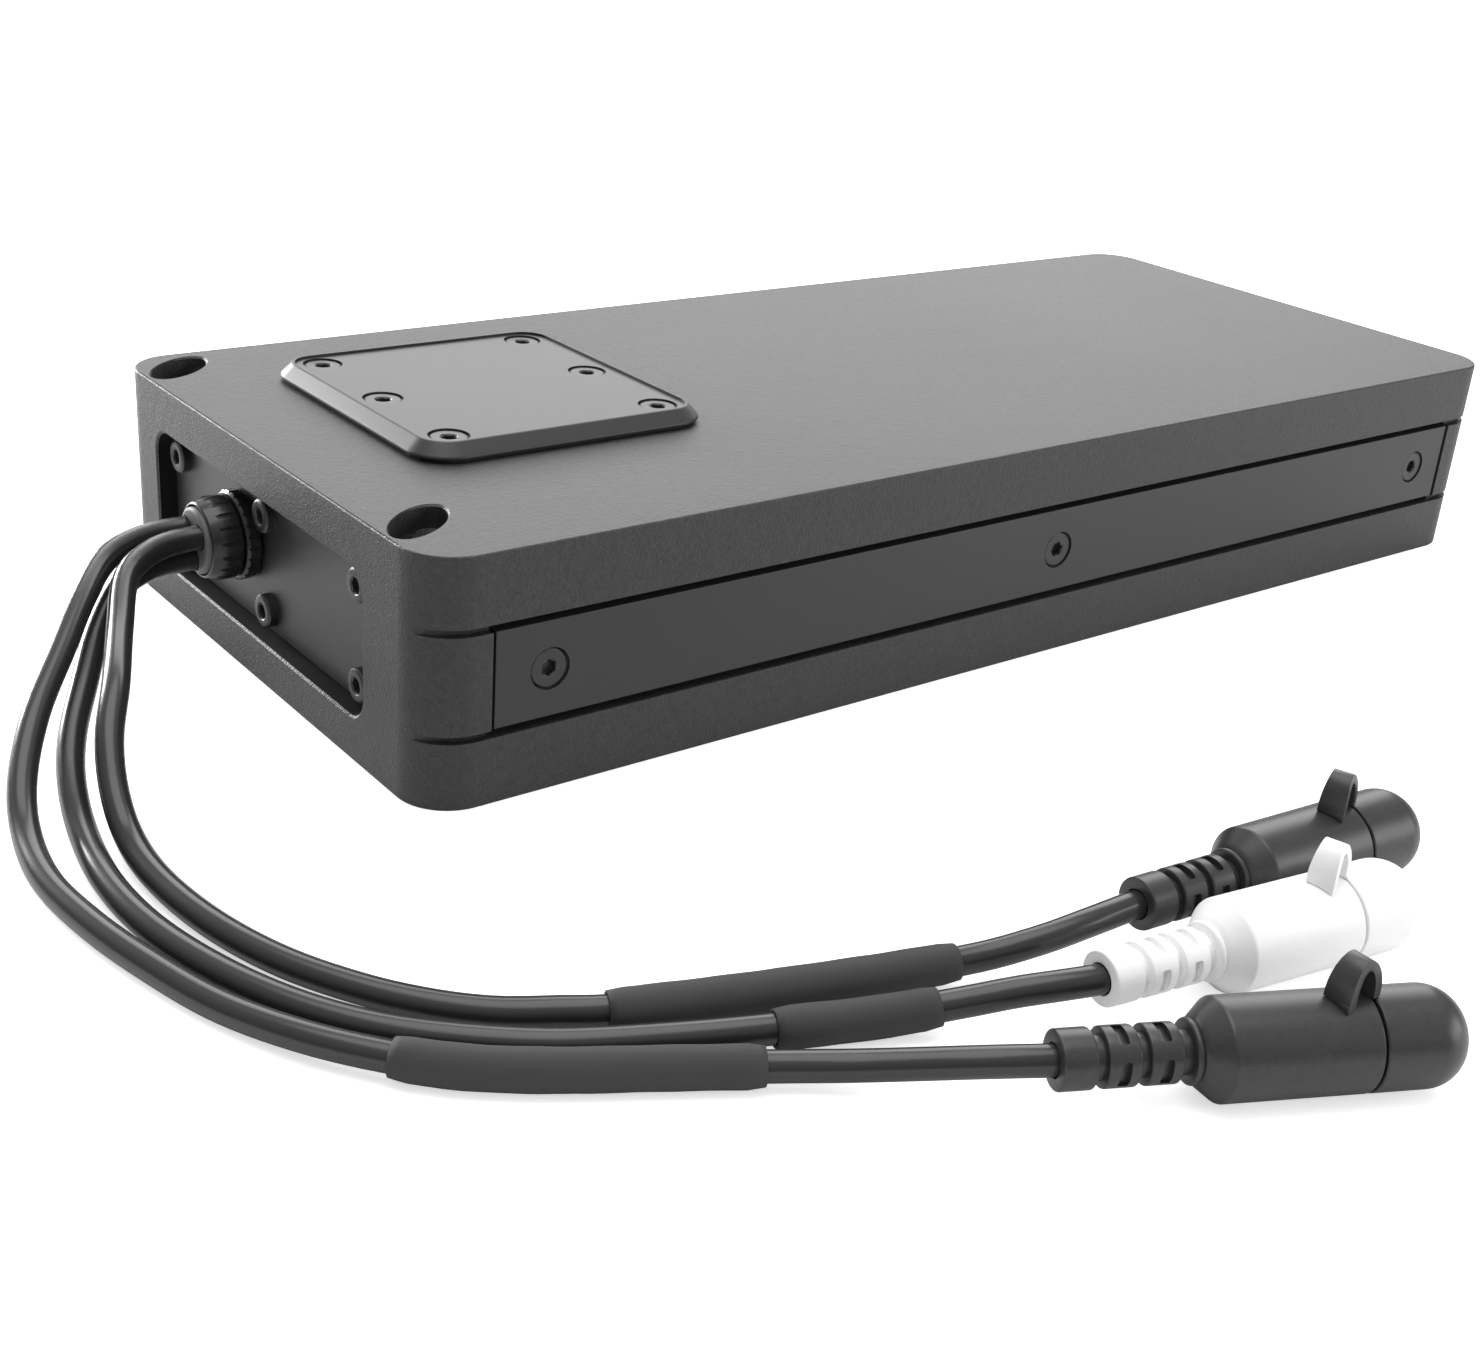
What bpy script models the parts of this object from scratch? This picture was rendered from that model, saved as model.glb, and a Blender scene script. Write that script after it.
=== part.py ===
"""Rugged cellular signal booster: a milled box with a cable gland, three leads and capped connectors.

Units are metres, +Z is up and the origin is the middle of the case's underside.
The connector end faces -X and one long side faces -Y.
"""
import math

import bmesh
import bpy
from mathutils import Matrix, Vector

MM = 0.001
GAP = 0.3 * MM
LIFT = 0.05 * MM
PROUD = 1 * MM

# Case
CASE_LENGTH = 240 * MM
CASE_WIDTH = 102 * MM
CASE_HEIGHT = 37.5 * MM
CORNER_RADIUS = 8 * MM
END_WALL = 19 * MM
FAR_WALL = 13 * MM
SIDE_WALL = 13 * MM
TOP_WALL = 5 * MM

# Mounting holes: an oval head recess above a plain M5 bore, both leaning the same way
MOUNT_OVAL_LENGTH = 14 * MM
MOUNT_OVAL_WIDTH = 6.8 * MM
MOUNT_OVAL_DEPTH = 3.9 * MM
MOUNT_OVAL_TURN = math.radians(40)
MOUNT_BORE = 5.5 * MM
MOUNT_BORE_OFFSET = 2 * MM
MOUNT_FROM_END = 6.9 * MM
MOUNT_FROM_NEAR_SIDE = 14.6 * MM
MOUNT_FROM_FAR_SIDE = 7.9 * MM

# Fasteners: M3 countersunk screws and M3 low socket screws
SCREW_SHANK = 2.9 * MM
SCREW_HOLE = 3.5 * MM
SCREW_LENGTH = 8 * MM
CSK_HEAD = 5.8 * MM
CSK_DEPTH = 1.45 * MM
CSK_RIM = 0.25 * MM
SCREW_CHAMFER = 0.4 * MM
SHORT_SCREW_LENGTH = 6 * MM
CAP_HEAD = 5.2 * MM
CAP_HEAD_HEIGHT = 1.6 * MM
HEX_SOCKET = 2.3 * MM
HEX_DEPTH = 1.2 * MM
HEAD_EDGE = 0.3 * MM

# Side strips, each in a channel with a groove above and below it
STRIP_HEIGHT = 14.6 * MM
STRIP_THICKNESS = 2.4 * MM
STRIP_SETBACK = 0.2 * MM
STRIP_BOTTOM = 11.35 * MM
STRIP_END_MARGIN = 10.7 * MM
STRIP_SCREW_MARGIN = 8.8 * MM
GROOVE = 1.15 * MM
GROOVE_DEPTH = 1.3 * MM
GROOVE_WRAP = 5 * MM

# Access cover on the top
COVER_LENGTH = 52 * MM
COVER_WIDTH = 53 * MM
COVER_THICKNESS = 2.2 * MM
COVER_BEVEL = 1.9 * MM
COVER_CORNER = 6.5 * MM
COVER_FROM_END = 44.4 * MM
COVER_OFFSET = 8 * MM
COVER_SCREW_X = 38.1 * MM
COVER_SCREW_Y = 20.4 * MM
COVER_GASKET = 0.6 * MM
COVER_GASKET_INSET = 0.6 * MM
COVER_GASKET_WIDTH = 11 * MM
ACCESS_WINDOW_CORNER = 3 * MM

# Connector-end pocket, its plate and gasket
POCKET_WIDTH = 70 * MM
POCKET_HEIGHT = 23 * MM
POCKET_CORNER = 4 * MM
POCKET_RECESS = 3 * MM
POCKET_OFFSET = 2 * MM
POCKET_MIDDLE = 18.5 * MM
END_PLATE_THICKNESS = 3 * MM
END_GASKET = 0.8 * MM
END_GASKET_WIDTH = 6.5 * MM
END_SCREW_Y = 30.5 * MM
END_SCREW_Z = 7.7 * MM

# Cable gland
GLAND_OFFSET = 10.5 * MM
GLAND_HEIGHT = 20.5 * MM
GLAND_SHANK = 11.6 * MM
GLAND_BORE = 9.8 * MM
GLAND_COLLAR = 14 * MM
GLAND_COLLAR_LENGTH = 2.4 * MM
GLAND_NUT = 13 * MM
GLAND_NUT_FRONT = 12 * MM
GLAND_NUT_LENGTH = 4.8 * MM
GLAND_SEAL = 10.4 * MM
GLAND_SEAL_PROUD = 0.7 * MM
GLAND_LOCKNUT = 14.4 * MM
GLAND_LOCKNUT_LENGTH = 3 * MM
GLAND_EDGE = 0.4 * MM
GLAND_TAIL = 0.5 * MM
GLAND_FLOOR = 0.6 * MM
GLAND_NUT_TAPER = 2 * MM
LEAD_CIRCLE = 2.7 * MM
SEAL_BORE = 4.3 * MM

# Underside cover
BOTTOM_MARGIN_NEAR = 11 * MM
BOTTOM_MARGIN_FAR = 5 * MM
BOTTOM_SIDE_MARGIN = 5 * MM
BOTTOM_THICKNESS = 2.8 * MM
BOTTOM_SETBACK = 0.2 * MM
BOTTOM_CORNER = 5 * MM
BOTTOM_GASKET = 0.8 * MM
BOTTOM_SCREW_INSET = 4.2 * MM

# Electronics
BOARD_LENGTH = 196 * MM
BOARD_WIDTH = 70 * MM
BOARD_THICKNESS = 1.6 * MM
SPREADER_HEIGHT = 10 * MM
SPREADER_MARGIN = 6 * MM
SHIELD_LENGTH = 70 * MM
SHIELD_WIDTH = 54 * MM
SHIELD_HEIGHT = 9 * MM
SHIELD_SHEET = 0.5 * MM
HEADER_LENGTH = 12 * MM
HEADER_WIDTH = 24 * MM
HEADER_HEIGHT = 7 * MM
HEADER_DROP = 4.5 * MM
HEADER_FROM_WALL = 4 * MM
BOARD_SHIFT = 4 * MM
SHIELD_SHIFT = 20 * MM
SHIELD_SPACING = 4 * MM

# Leads
LEAD = 3.8 * MM
LEAD_STEP = 6.5 * MM
LEAD_TAIL = 6 * MM
LEAD_STRAIGHT = 3 * MM
SLEEVE_WALL = 0.4 * MM

# In-line connectors, measured along their axis from the lead's end
CONNECTOR_RADIUS = 6.1 * MM
COLLAR_RADIUS = 3.3 * MM
RIB_RADIUS = 3.5 * MM
NECK_RADIUS = 2.8 * MM
RIB_LENGTH = 4 * MM
NECK_LENGTH = 0.9 * MM
CONE_START = 16.2 * MM
CONE_END = 19.2 * MM
CONE_FOOT = 0.8 * MM
SEAM = 37.2 * MM
CAP_LENGTH = 12.5 * MM
CAP_BORE_DEPTH = 8 * MM
CAP_DOME = 5 * MM
CAP_DOME_STEPS = 5
CARRIER_RADIUS = 4.3 * MM
CARRIER_DEPTH = 9 * MM
CARRIER_PROUD = 7 * MM
CONTACT = 1.4 * MM
CONTACT_CIRCLE = 2 * MM
CONTACT_DEPTH = 3 * MM
LEAD_SOCKET = 7 * MM
TETHER_THICKNESS = 1.2 * MM
TETHER_WIDTH = 3.6 * MM
TETHER_SPAN = 4.4 * MM
TETHER_RISE = 4.2 * MM
TETHER_START = 32.7 * MM
TETHER_CLEARANCE = 0.55 * MM
TETHER_STEPS = 10
TETHER_TURN = math.radians(-25)

TURN_STEPS = 18
SCREW_STEPS = 12
CORNER_STEPS = 6
SMALL_CORNER_STEPS = 4

# Each lead: its place in the gland, its route outside it, the stretch under its sleeve and its
# connector. A route point is (x, y, z) in millimetres.
LEADS = {
    "outer": {
        "around": math.radians(30),
        "route": [
            (-134.2, 11.6, 21.7), (-140.3, 8.1, 20.7), (-146.7, 0.3, 18.5), (-153.2, -8.4, 15.2),
            (-160.0, -17.2, 11.3), (-165.0, -25.4, 6.6), (-167.6, -33.4, 3.2), (-169.0, -44.3, 2.2),
            (-168.1, -56.0, 2.1), (-165.8, -67.6, 2.1), (-162.3, -79.6, 2.1), (-157.5, -90.1, 2.6),
            (-151.7, -98.3, 2.8), (-145.4, -104.7, 2.8), (-137.3, -110.4, 2.8),
            (-126.7, -116.5, 2.8), (-115.7, -122.9, 2.8), (-109.5, -127.1, 3.1),
            (-104.4, -131.7, 4.2), (-100.4, -135.6, 5.3), (-96.6, -138.8, 6.0),
        ],
        "sleeve": (0.673, 0.853),
        "connector": (-92.4, -141.4, -25.5),
    },
    "middle": {
        "around": math.radians(-90),
        "route": [
            (-133.6, 9.5, 17.6), (-139.3, 6.0, 16.6), (-145.6, -2.0, 14.3), (-150.9, -10.8, 11.4),
            (-155.7, -18.5, 7.9), (-158.7, -25.5, 4.9), (-160.9, -34.7, 2.4), (-162.7, -47.2, 2.1),
            (-162.5, -59.2, 2.1), (-160.1, -70.9, 2.1), (-156.0, -81.9, 2.1), (-150.7, -90.8, 2.1),
            (-143.9, -98.0, 2.1), (-134.1, -105.5, 2.1), (-122.4, -112.0, 2.5),
            (-112.1, -116.8, 2.8), (-100.7, -121.2, 2.8), (-91.3, -125.5, 4.0),
            (-85.4, -128.7, 5.3), (-80.6, -131.2, 6.0),
        ],
        "sleeve": (0.810, 0.901),
        "connector": (-75.6, -132.9, -8.8),
    },
    "inner": {
        "around": math.radians(150),
        "route": [
            (-133.6, 6.7, 21.5), (-139.2, 2.2, 20.2), (-144.3, -7.8, 17.5), (-150.1, -20.6, 15.0),
            (-154.1, -27.9, 11.0), (-156.1, -33.9, 6.5), (-157.0, -40.9, 3.1), (-157.3, -51.2, 2.2),
            (-155.9, -63.6, 2.2), (-152.5, -74.8, 2.1), (-147.6, -84.3, 2.1), (-142.5, -91.2, 2.1),
            (-136.9, -96.7, 2.2), (-130.7, -101.2, 2.7), (-123.8, -104.9, 2.8),
            (-104.1, -111.7, 2.8), (-83.9, -118.1, 3.2), (-74.7, -121.5, 4.8), (-66.8, -123.0, 5.9),
        ],
        "sleeve": (0.694, 0.865),
        "connector": (-58.6, -123.4, -5.5),
    },
}
CONNECTOR_HEIGHT = CONNECTOR_RADIUS + LIFT

# Places worked out from the sizes above
END_X = -CASE_LENGTH / 2
COVER_TOP = CASE_HEIGHT + COVER_GASKET + COVER_THICKNESS + 2 * LIFT
COVER_X = END_X + COVER_FROM_END
PLATE_FRONT = END_X + POCKET_RECESS
PLATE_BACK = PLATE_FRONT + END_PLATE_THICKNESS
POCKET_SEAT = PLATE_BACK + END_GASKET + 2 * GAP
POCKET_Y = POCKET_OFFSET
GLAND_Y = GLAND_OFFSET
CHANNEL_BOTTOM = STRIP_BOTTOM - GROOVE
CHANNEL_TOP = STRIP_BOTTOM + STRIP_HEIGHT + GROOVE
CHANNEL_DEPTH = STRIP_THICKNESS + STRIP_SETBACK + GAP
STRIP_LENGTH = CASE_LENGTH - 2 * STRIP_END_MARGIN
STRIP_MIDDLE = STRIP_BOTTOM + STRIP_HEIGHT / 2
CAVITY_LENGTH = CASE_LENGTH - END_WALL - FAR_WALL
CAVITY_X = END_X + END_WALL + CAVITY_LENGTH / 2
CAVITY_WIDTH = CASE_WIDTH - 2 * SIDE_WALL
BOTTOM_LENGTH = CASE_LENGTH - BOTTOM_MARGIN_NEAR - BOTTOM_MARGIN_FAR
BOTTOM_X = END_X + BOTTOM_MARGIN_NEAR + BOTTOM_LENGTH / 2
BOTTOM_WIDTH = CASE_WIDTH - 2 * BOTTOM_SIDE_MARGIN
BOTTOM_SEAT = BOTTOM_SETBACK + BOTTOM_THICKNESS + BOTTOM_GASKET + 2 * GAP
SPREADER_TOP = CASE_HEIGHT - TOP_WALL - GAP
BOARD_TOP = SPREADER_TOP - SPREADER_HEIGHT - GAP
BOARD_BOTTOM = BOARD_TOP - BOARD_THICKNESS
NUT_BACK = PLATE_FRONT - GAP - GLAND_COLLAR_LENGTH - GAP
SEAL_FRONT = NUT_BACK - GLAND_NUT_LENGTH - GLAND_SEAL_PROUD
HEADER_FRONT = END_X + END_WALL + HEADER_FROM_WALL


def clear_scene():
    for item in list(bpy.data.objects):
        bpy.data.objects.remove(item, do_unlink=True)


def new_collection(name):
    made = bpy.data.collections.new(name)
    bpy.context.scene.collection.children.link(made)
    return made


def make_material(name, colour, roughness, metallic=0.0):
    material = bpy.data.materials.new(name)
    material.use_nodes = True
    shader = material.node_tree.nodes["Principled BSDF"]
    shader.inputs["Base Color"].default_value = (*colour, 1.0)
    shader.inputs["Roughness"].default_value = roughness
    shader.inputs["Metallic"].default_value = metallic
    return material


def add_object(name, data, material=None, group=None):
    item = bpy.data.objects.new(name, data)
    (group or PARTS).objects.link(item)
    if material:
        data.materials.clear()
        data.materials.append(material)
    return item


def mesh_from(name, bm):
    mesh = bpy.data.meshes.new(name)
    bm.to_mesh(mesh)
    bm.free()
    return mesh


def baked_mesh(item):
    """Return the evaluated mesh of an object and remove the object."""
    bpy.context.view_layer.update()
    graph = bpy.context.evaluated_depsgraph_get()
    mesh = bpy.data.meshes.new_from_object(item.evaluated_get(graph))
    bpy.data.objects.remove(item, do_unlink=True)
    return mesh


def block_mesh(name, size, corner=0.0, segments=SMALL_CORNER_STEPS, axis=2):
    """A box centred on its origin, with the four edges along one axis rounded."""
    bm = bmesh.new()
    bmesh.ops.create_cube(bm, size=1.0)
    bmesh.ops.scale(bm, vec=Vector(size), verts=bm.verts)
    if corner:
        edges = [e for e in bm.edges
                 if abs(abs((e.verts[0].co - e.verts[1].co)[axis]) - size[axis]) < 1e-7]
        bmesh.ops.bevel(bm, geom=edges, offset=corner, offset_type="OFFSET", segments=segments,
                        profile=0.5, affect="EDGES", clamp_overlap=True)
    return mesh_from(name, bm)


def add_block(name, size, centre, material=None, corner=0.0, segments=SMALL_CORNER_STEPS, axis=2,
              group=None):
    item = add_object(name, block_mesh(name, size, corner, segments, axis), material, group)
    item.location = centre
    return item


def add_cutter(name, mesh, location, rotation=(0, 0, 0)):
    item = add_object(name, mesh, None, CUTTERS)
    item.location = location
    item.rotation_euler = rotation
    item.hide_render = True
    item.display_type = "WIRE"
    return item


def cut(item, cutter):
    modifier = item.modifiers.new(cutter.name, "BOOLEAN")
    modifier.operation = "DIFFERENCE"
    modifier.solver = "EXACT"
    modifier.object = cutter
    return modifier


def pin_mesh(name, points, radius, depth, steps=SCREW_STEPS):
    """Round pins along -Z from each (x, y, z), standing a little above it, in one cutter mesh."""
    bm = bmesh.new()
    for point in points:
        length = depth + PROUD
        place = Matrix.Translation(Vector(point) + Vector((0, 0, PROUD - length / 2)))
        bmesh.ops.create_cone(bm, cap_ends=True, segments=steps, radius1=radius, radius2=radius,
                              depth=length, matrix=place)
    return mesh_from(name, bm)


def turned(name, profile, material=None, steps=TURN_STEPS, closed=False, group=None):
    """A turned piece about its own Z. The profile of (radius, height) runs down its outer side."""
    bm = bmesh.new()
    verts = [bm.verts.new((radius, 0.0, height)) for radius, height in profile]
    for first, second in zip(verts, verts[1:]):
        bm.edges.new((first, second))
    if closed:
        bm.edges.new((verts[-1], verts[0]))
    item = add_object(name, mesh_from(name, bm), material, group)
    screw = item.modifiers.new("turn", "SCREW")
    screw.axis = "Z"
    screw.steps = steps
    screw.render_steps = steps
    screw.use_merge_vertices = True
    screw.merge_threshold = 1e-6
    screw.use_smooth_shade = True
    return item


def socket_cutter(name, top):
    bm = bmesh.new()
    depth = HEX_DEPTH + PROUD
    place = Matrix.Translation((0, 0, top + PROUD - depth / 2))
    radius = HEX_SOCKET / math.sqrt(3)
    bmesh.ops.create_cone(bm, cap_ends=True, segments=6, radius1=radius, radius2=radius,
                          depth=depth, matrix=place)
    return add_cutter(name, mesh_from(name, bm), (0, 0, 0))


def countersunk_screw_mesh(length):
    """An M3 countersunk screw whose flat head lies at z = 0."""
    head = CSK_HEAD / 2
    shank = SCREW_SHANK / 2
    profile = [(0, 0), (head, 0), (head, -CSK_RIM), (shank, -CSK_RIM - CSK_DEPTH),
               (shank, -length + SCREW_CHAMFER), (shank - SCREW_CHAMFER, -length), (0, -length)]
    screw = turned("countersunk_screw", profile, steps=SCREW_STEPS)
    cut(screw, socket_cutter("countersunk_socket", 0))
    return baked_mesh(screw)


def cap_screw_mesh(length):
    """An M3 low socket screw whose head stands on z = 0."""
    head = CAP_HEAD / 2
    shank = SCREW_SHANK / 2
    profile = [(0, CAP_HEAD_HEIGHT), (head - HEAD_EDGE, CAP_HEAD_HEIGHT),
               (head, CAP_HEAD_HEIGHT - HEAD_EDGE), (head, 0), (shank, 0), (shank, -length), (0, -length)]
    screw = turned("cap_screw", profile, steps=SCREW_STEPS)
    cut(screw, socket_cutter("cap_socket", CAP_HEAD_HEIGHT))
    return baked_mesh(screw)


def countersink_cutter(name, points):
    """The seats of countersunk screws whose heads lie at z = 0, one closed cone for each."""
    bm = bmesh.new()
    head = CSK_HEAD / 2 + GAP
    hole = SCREW_HOLE / 2
    floor = -CSK_RIM - CSK_DEPTH - GAP
    for point in points:
        profile = [(0, PROUD), (head, PROUD), (head, -CSK_RIM), (hole, floor), (0, floor)]
        verts = [bm.verts.new(Vector(point) + Vector((radius, 0, height))) for radius, height in profile]
        edges = [bm.edges.new(pair) for pair in zip(verts, verts[1:])]
        bmesh.ops.spin(bm, geom=verts + edges, cent=Vector(point), axis=(0, 0, 1), dvec=(0, 0, 0),
                       angle=2 * math.pi, steps=SCREW_STEPS, use_merge=True)
    bmesh.ops.remove_doubles(bm, verts=bm.verts, dist=1e-6)
    bmesh.ops.recalc_face_normals(bm, faces=bm.faces)
    return mesh_from(name, bm)


def ring_cutter(name, length, width, height, corner, depth):
    """A rectangular frame, from outside the outline to a depth inside it."""
    outer = add_block(name, (length + 4 * MM, width + 4 * MM, height), (0, 0, 0), None,
                      corner + 2 * MM, CORNER_STEPS, group=CUTTERS)
    inner = add_block(name + "_core", (length - 2 * depth, width - 2 * depth, height + 2 * MM),
                      (0, 0, 0), None, corner - depth, CORNER_STEPS, group=CUTTERS)
    cut(outer, inner)
    middle = add_block(name + "_middle", (length + 10 * MM, width - 2 * GROOVE_WRAP, height + 4 * MM),
                       (0, 0, 0), group=CUTTERS)
    cut(outer, middle)
    mesh = baked_mesh(outer)
    bpy.data.objects.remove(inner, do_unlink=True)
    bpy.data.objects.remove(middle, do_unlink=True)
    return mesh


def mount_places():
    x = END_X + MOUNT_FROM_END
    return [(x, -CASE_WIDTH / 2 + MOUNT_FROM_NEAR_SIDE), (x, CASE_WIDTH / 2 - MOUNT_FROM_FAR_SIDE)]


def cover_screw_places():
    return [(COVER_X + side * COVER_SCREW_X / 2, COVER_OFFSET + row * COVER_SCREW_Y)
            for side in (-1, 1) for row in (-1, 0, 1)]


def end_screw_places():
    return [(POCKET_Y + column * END_SCREW_Y, POCKET_MIDDLE + row * END_SCREW_Z)
            for row in (-1, 1) for column in (-1, 0, 1)]


def bottom_screw_places():
    x = BOTTOM_LENGTH / 2 - BOTTOM_SCREW_INSET
    y = BOTTOM_WIDTH / 2 - BOTTOM_SCREW_INSET
    return [(BOTTOM_X + column * x, side * y) for side in (-1, 1) for column in (-1, 0, 1)]


def strip_screw_places():
    x = STRIP_LENGTH / 2 - STRIP_SCREW_MARGIN
    return [-x, 0.0, x]


def housing_cutters():
    """Every cut in the milled case."""
    cutters = []

    def block(name, size, centre, corner=0.0, axis=2):
        cutters.append(add_cutter(name, block_mesh(name, size, corner, SMALL_CORNER_STEPS, axis), centre))

    def pins(name, points, radius, depth, rotation=(0, 0, 0), location=(0, 0, 0), steps=SCREW_STEPS):
        mesh = pin_mesh(name, points, radius, depth, steps)
        cutters.append(add_cutter(name, mesh, location, rotation))

    cavity_top = CASE_HEIGHT - TOP_WALL
    block("cut_cavity", (CAVITY_LENGTH, CAVITY_WIDTH, cavity_top + 2 * MM),
          (CAVITY_X, 0, cavity_top / 2 - 1 * MM), 4 * MM)
    block("cut_bottom", (BOTTOM_LENGTH, BOTTOM_WIDTH, BOTTOM_SEAT + 2 * MM),
          (BOTTOM_X, 0, BOTTOM_SEAT / 2 - 1 * MM), BOTTOM_CORNER)
    pocket_depth = POCKET_SEAT - END_X
    block("cut_pocket", (pocket_depth + 2 * MM, POCKET_WIDTH, POCKET_HEIGHT),
          (END_X + pocket_depth / 2 - 1 * MM, POCKET_Y, POCKET_MIDDLE), POCKET_CORNER, 0)
    window = (COVER_LENGTH - 2 * COVER_GASKET_WIDTH, COVER_WIDTH - 2 * COVER_GASKET_WIDTH)
    block("cut_window", (*window, TOP_WALL + 4 * MM), (COVER_X, COVER_OFFSET, CASE_HEIGHT - TOP_WALL / 2),
          ACCESS_WINDOW_CORNER)

    for side in (-1, 1):
        size = (STRIP_LENGTH + 2 * GAP, CHANNEL_DEPTH * 2, CHANNEL_TOP - CHANNEL_BOTTOM)
        block("cut_channel_%d" % side, size,
              (0, side * CASE_WIDTH / 2, (CHANNEL_TOP + CHANNEL_BOTTOM) / 2))
    ring = ring_cutter("groove_ring", CASE_LENGTH, CASE_WIDTH, GROOVE, CORNER_RADIUS, GROOVE_DEPTH)
    for name, low in (("cut_lower_groove", CHANNEL_BOTTOM), ("cut_upper_groove", CHANNEL_TOP - GROOVE)):
        cutters.append(add_cutter(name, ring, (0, 0, low + GROOVE / 2)))

    for index, (x, y) in enumerate(mount_places()):
        mesh = pin_mesh("mount_oval", [(0, 0, 0)], 0.5, MOUNT_OVAL_DEPTH, 24)
        mesh.transform(Matrix.Diagonal((MOUNT_OVAL_LENGTH, MOUNT_OVAL_WIDTH, 1, 1)))
        cutters.append(add_cutter("cut_mount_oval_%d" % index, mesh, (x, y, CASE_HEIGHT),
                                  (0, 0, MOUNT_OVAL_TURN)))
        bore_x = x - MOUNT_BORE_OFFSET * math.cos(MOUNT_OVAL_TURN)
        bore_y = y - MOUNT_BORE_OFFSET * math.sin(MOUNT_OVAL_TURN)
        pins("cut_mount_bore_%d" % index, [(bore_x, bore_y, CASE_HEIGHT)], MOUNT_BORE / 2,
             CASE_HEIGHT + 2 * MM, steps=18)

    hole = SCREW_HOLE / 2
    pins("cut_cover_screws", [(x, y, CASE_HEIGHT) for x, y in cover_screw_places()], hole,
         TOP_WALL - 1 * MM)
    pins("cut_end_screws", [(z, y, 0) for y, z in end_screw_places()], hole, SCREW_LENGTH - 2 * MM,
         (0, -math.pi / 2, 0), (POCKET_SEAT, 0, 0))
    pins("cut_gland_way", [(GLAND_HEIGHT, GLAND_Y, 0)], GLAND_LOCKNUT / 2 + GAP, END_WALL,
         (0, -math.pi / 2, 0), (POCKET_SEAT, 0, 0), 20)
    pins("cut_bottom_screws", [(x, -y, 0) for x, y in bottom_screw_places()], hole,
         SCREW_LENGTH, (math.pi, 0, 0), (0, 0, BOTTOM_SEAT))
    channel = CASE_WIDTH / 2 - CHANNEL_DEPTH
    for side, turn in ((-1, math.pi / 2), (1, -math.pi / 2)):
        points = [(x, side * -STRIP_MIDDLE, 0) for x in strip_screw_places()]
        pins("cut_strip_screws_%d" % side, points, hole, SCREW_LENGTH - 1 * MM, (turn, 0, 0),
             (0, side * channel, 0))
    return cutters


def build_housing():
    size = (CASE_LENGTH, CASE_WIDTH, CASE_HEIGHT)
    housing = add_block("housing", size, (0, 0, CASE_HEIGHT / 2), ALLOY, CORNER_RADIUS, CORNER_STEPS)
    for cutter in housing_cutters():
        cut(housing, cutter)


def build_gasket(name, size, centre, corner, width, screw_mesh, screw_place, screw_turn, axis=2):
    """A flat ring of rubber with clearance holes for the screws that pass it."""
    gasket = add_block(name, size, centre, RUBBER, corner, axis=axis)
    inner = [value if index == axis else value - 2 * width for index, value in enumerate(size)]
    inner[axis] += 2 * MM
    core = add_cutter(name + "_window", block_mesh(name, inner, max(corner - width, 1 * MM), 2, axis),
                      centre)
    cut(gasket, core)
    cut(gasket, add_cutter(name + "_holes", screw_mesh, screw_place, screw_turn))


def build_access_cover():
    base = CASE_HEIGHT + LIFT
    size = (COVER_LENGTH - 2 * COVER_GASKET_INSET, COVER_WIDTH - 2 * COVER_GASKET_INSET, COVER_GASKET)
    points = [(x, y, 0) for x, y in cover_screw_places()]
    holes = pin_mesh("cover_pins", points, SCREW_HOLE / 2, 6 * MM)
    build_gasket("access_gasket", size, (COVER_X, COVER_OFFSET, base + COVER_GASKET / 2),
                 COVER_CORNER - COVER_GASKET_INSET, COVER_GASKET_WIDTH, holes, (0, 0, COVER_TOP),
                 (0, 0, 0))

    low = base + COVER_GASKET + LIFT
    cover = add_block("access_cover", (COVER_LENGTH, COVER_WIDTH, COVER_THICKNESS),
                      (COVER_X, COVER_OFFSET, low + COVER_THICKNESS / 2), ALLOY, COVER_CORNER)
    bm = bmesh.new()
    bm.from_mesh(cover.data)
    top = max(v.co.z for v in bm.verts)
    rim = [e for e in bm.edges if all(abs(v.co.z - top) < 1e-7 for v in e.verts)]
    bmesh.ops.bevel(bm, geom=rim, offset=COVER_BEVEL, offset_type="OFFSET", segments=1, profile=0.5,
                    affect="EDGES", clamp_overlap=True)
    bm.to_mesh(cover.data)
    bm.free()
    cut(cover, add_cutter("cut_cover_holes", holes, (0, 0, COVER_TOP)))
    cut(cover, add_cutter("cut_cover_seats", countersink_cutter("cover_seats", points),
                          (0, 0, COVER_TOP)))
    for index, (x, y) in enumerate(cover_screw_places()):
        screw = add_object("access_screw_%d" % (index + 1), SHORT_SCREW, SCREW_STEEL)
        screw.location = (x, y, COVER_TOP - LIFT)


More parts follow.
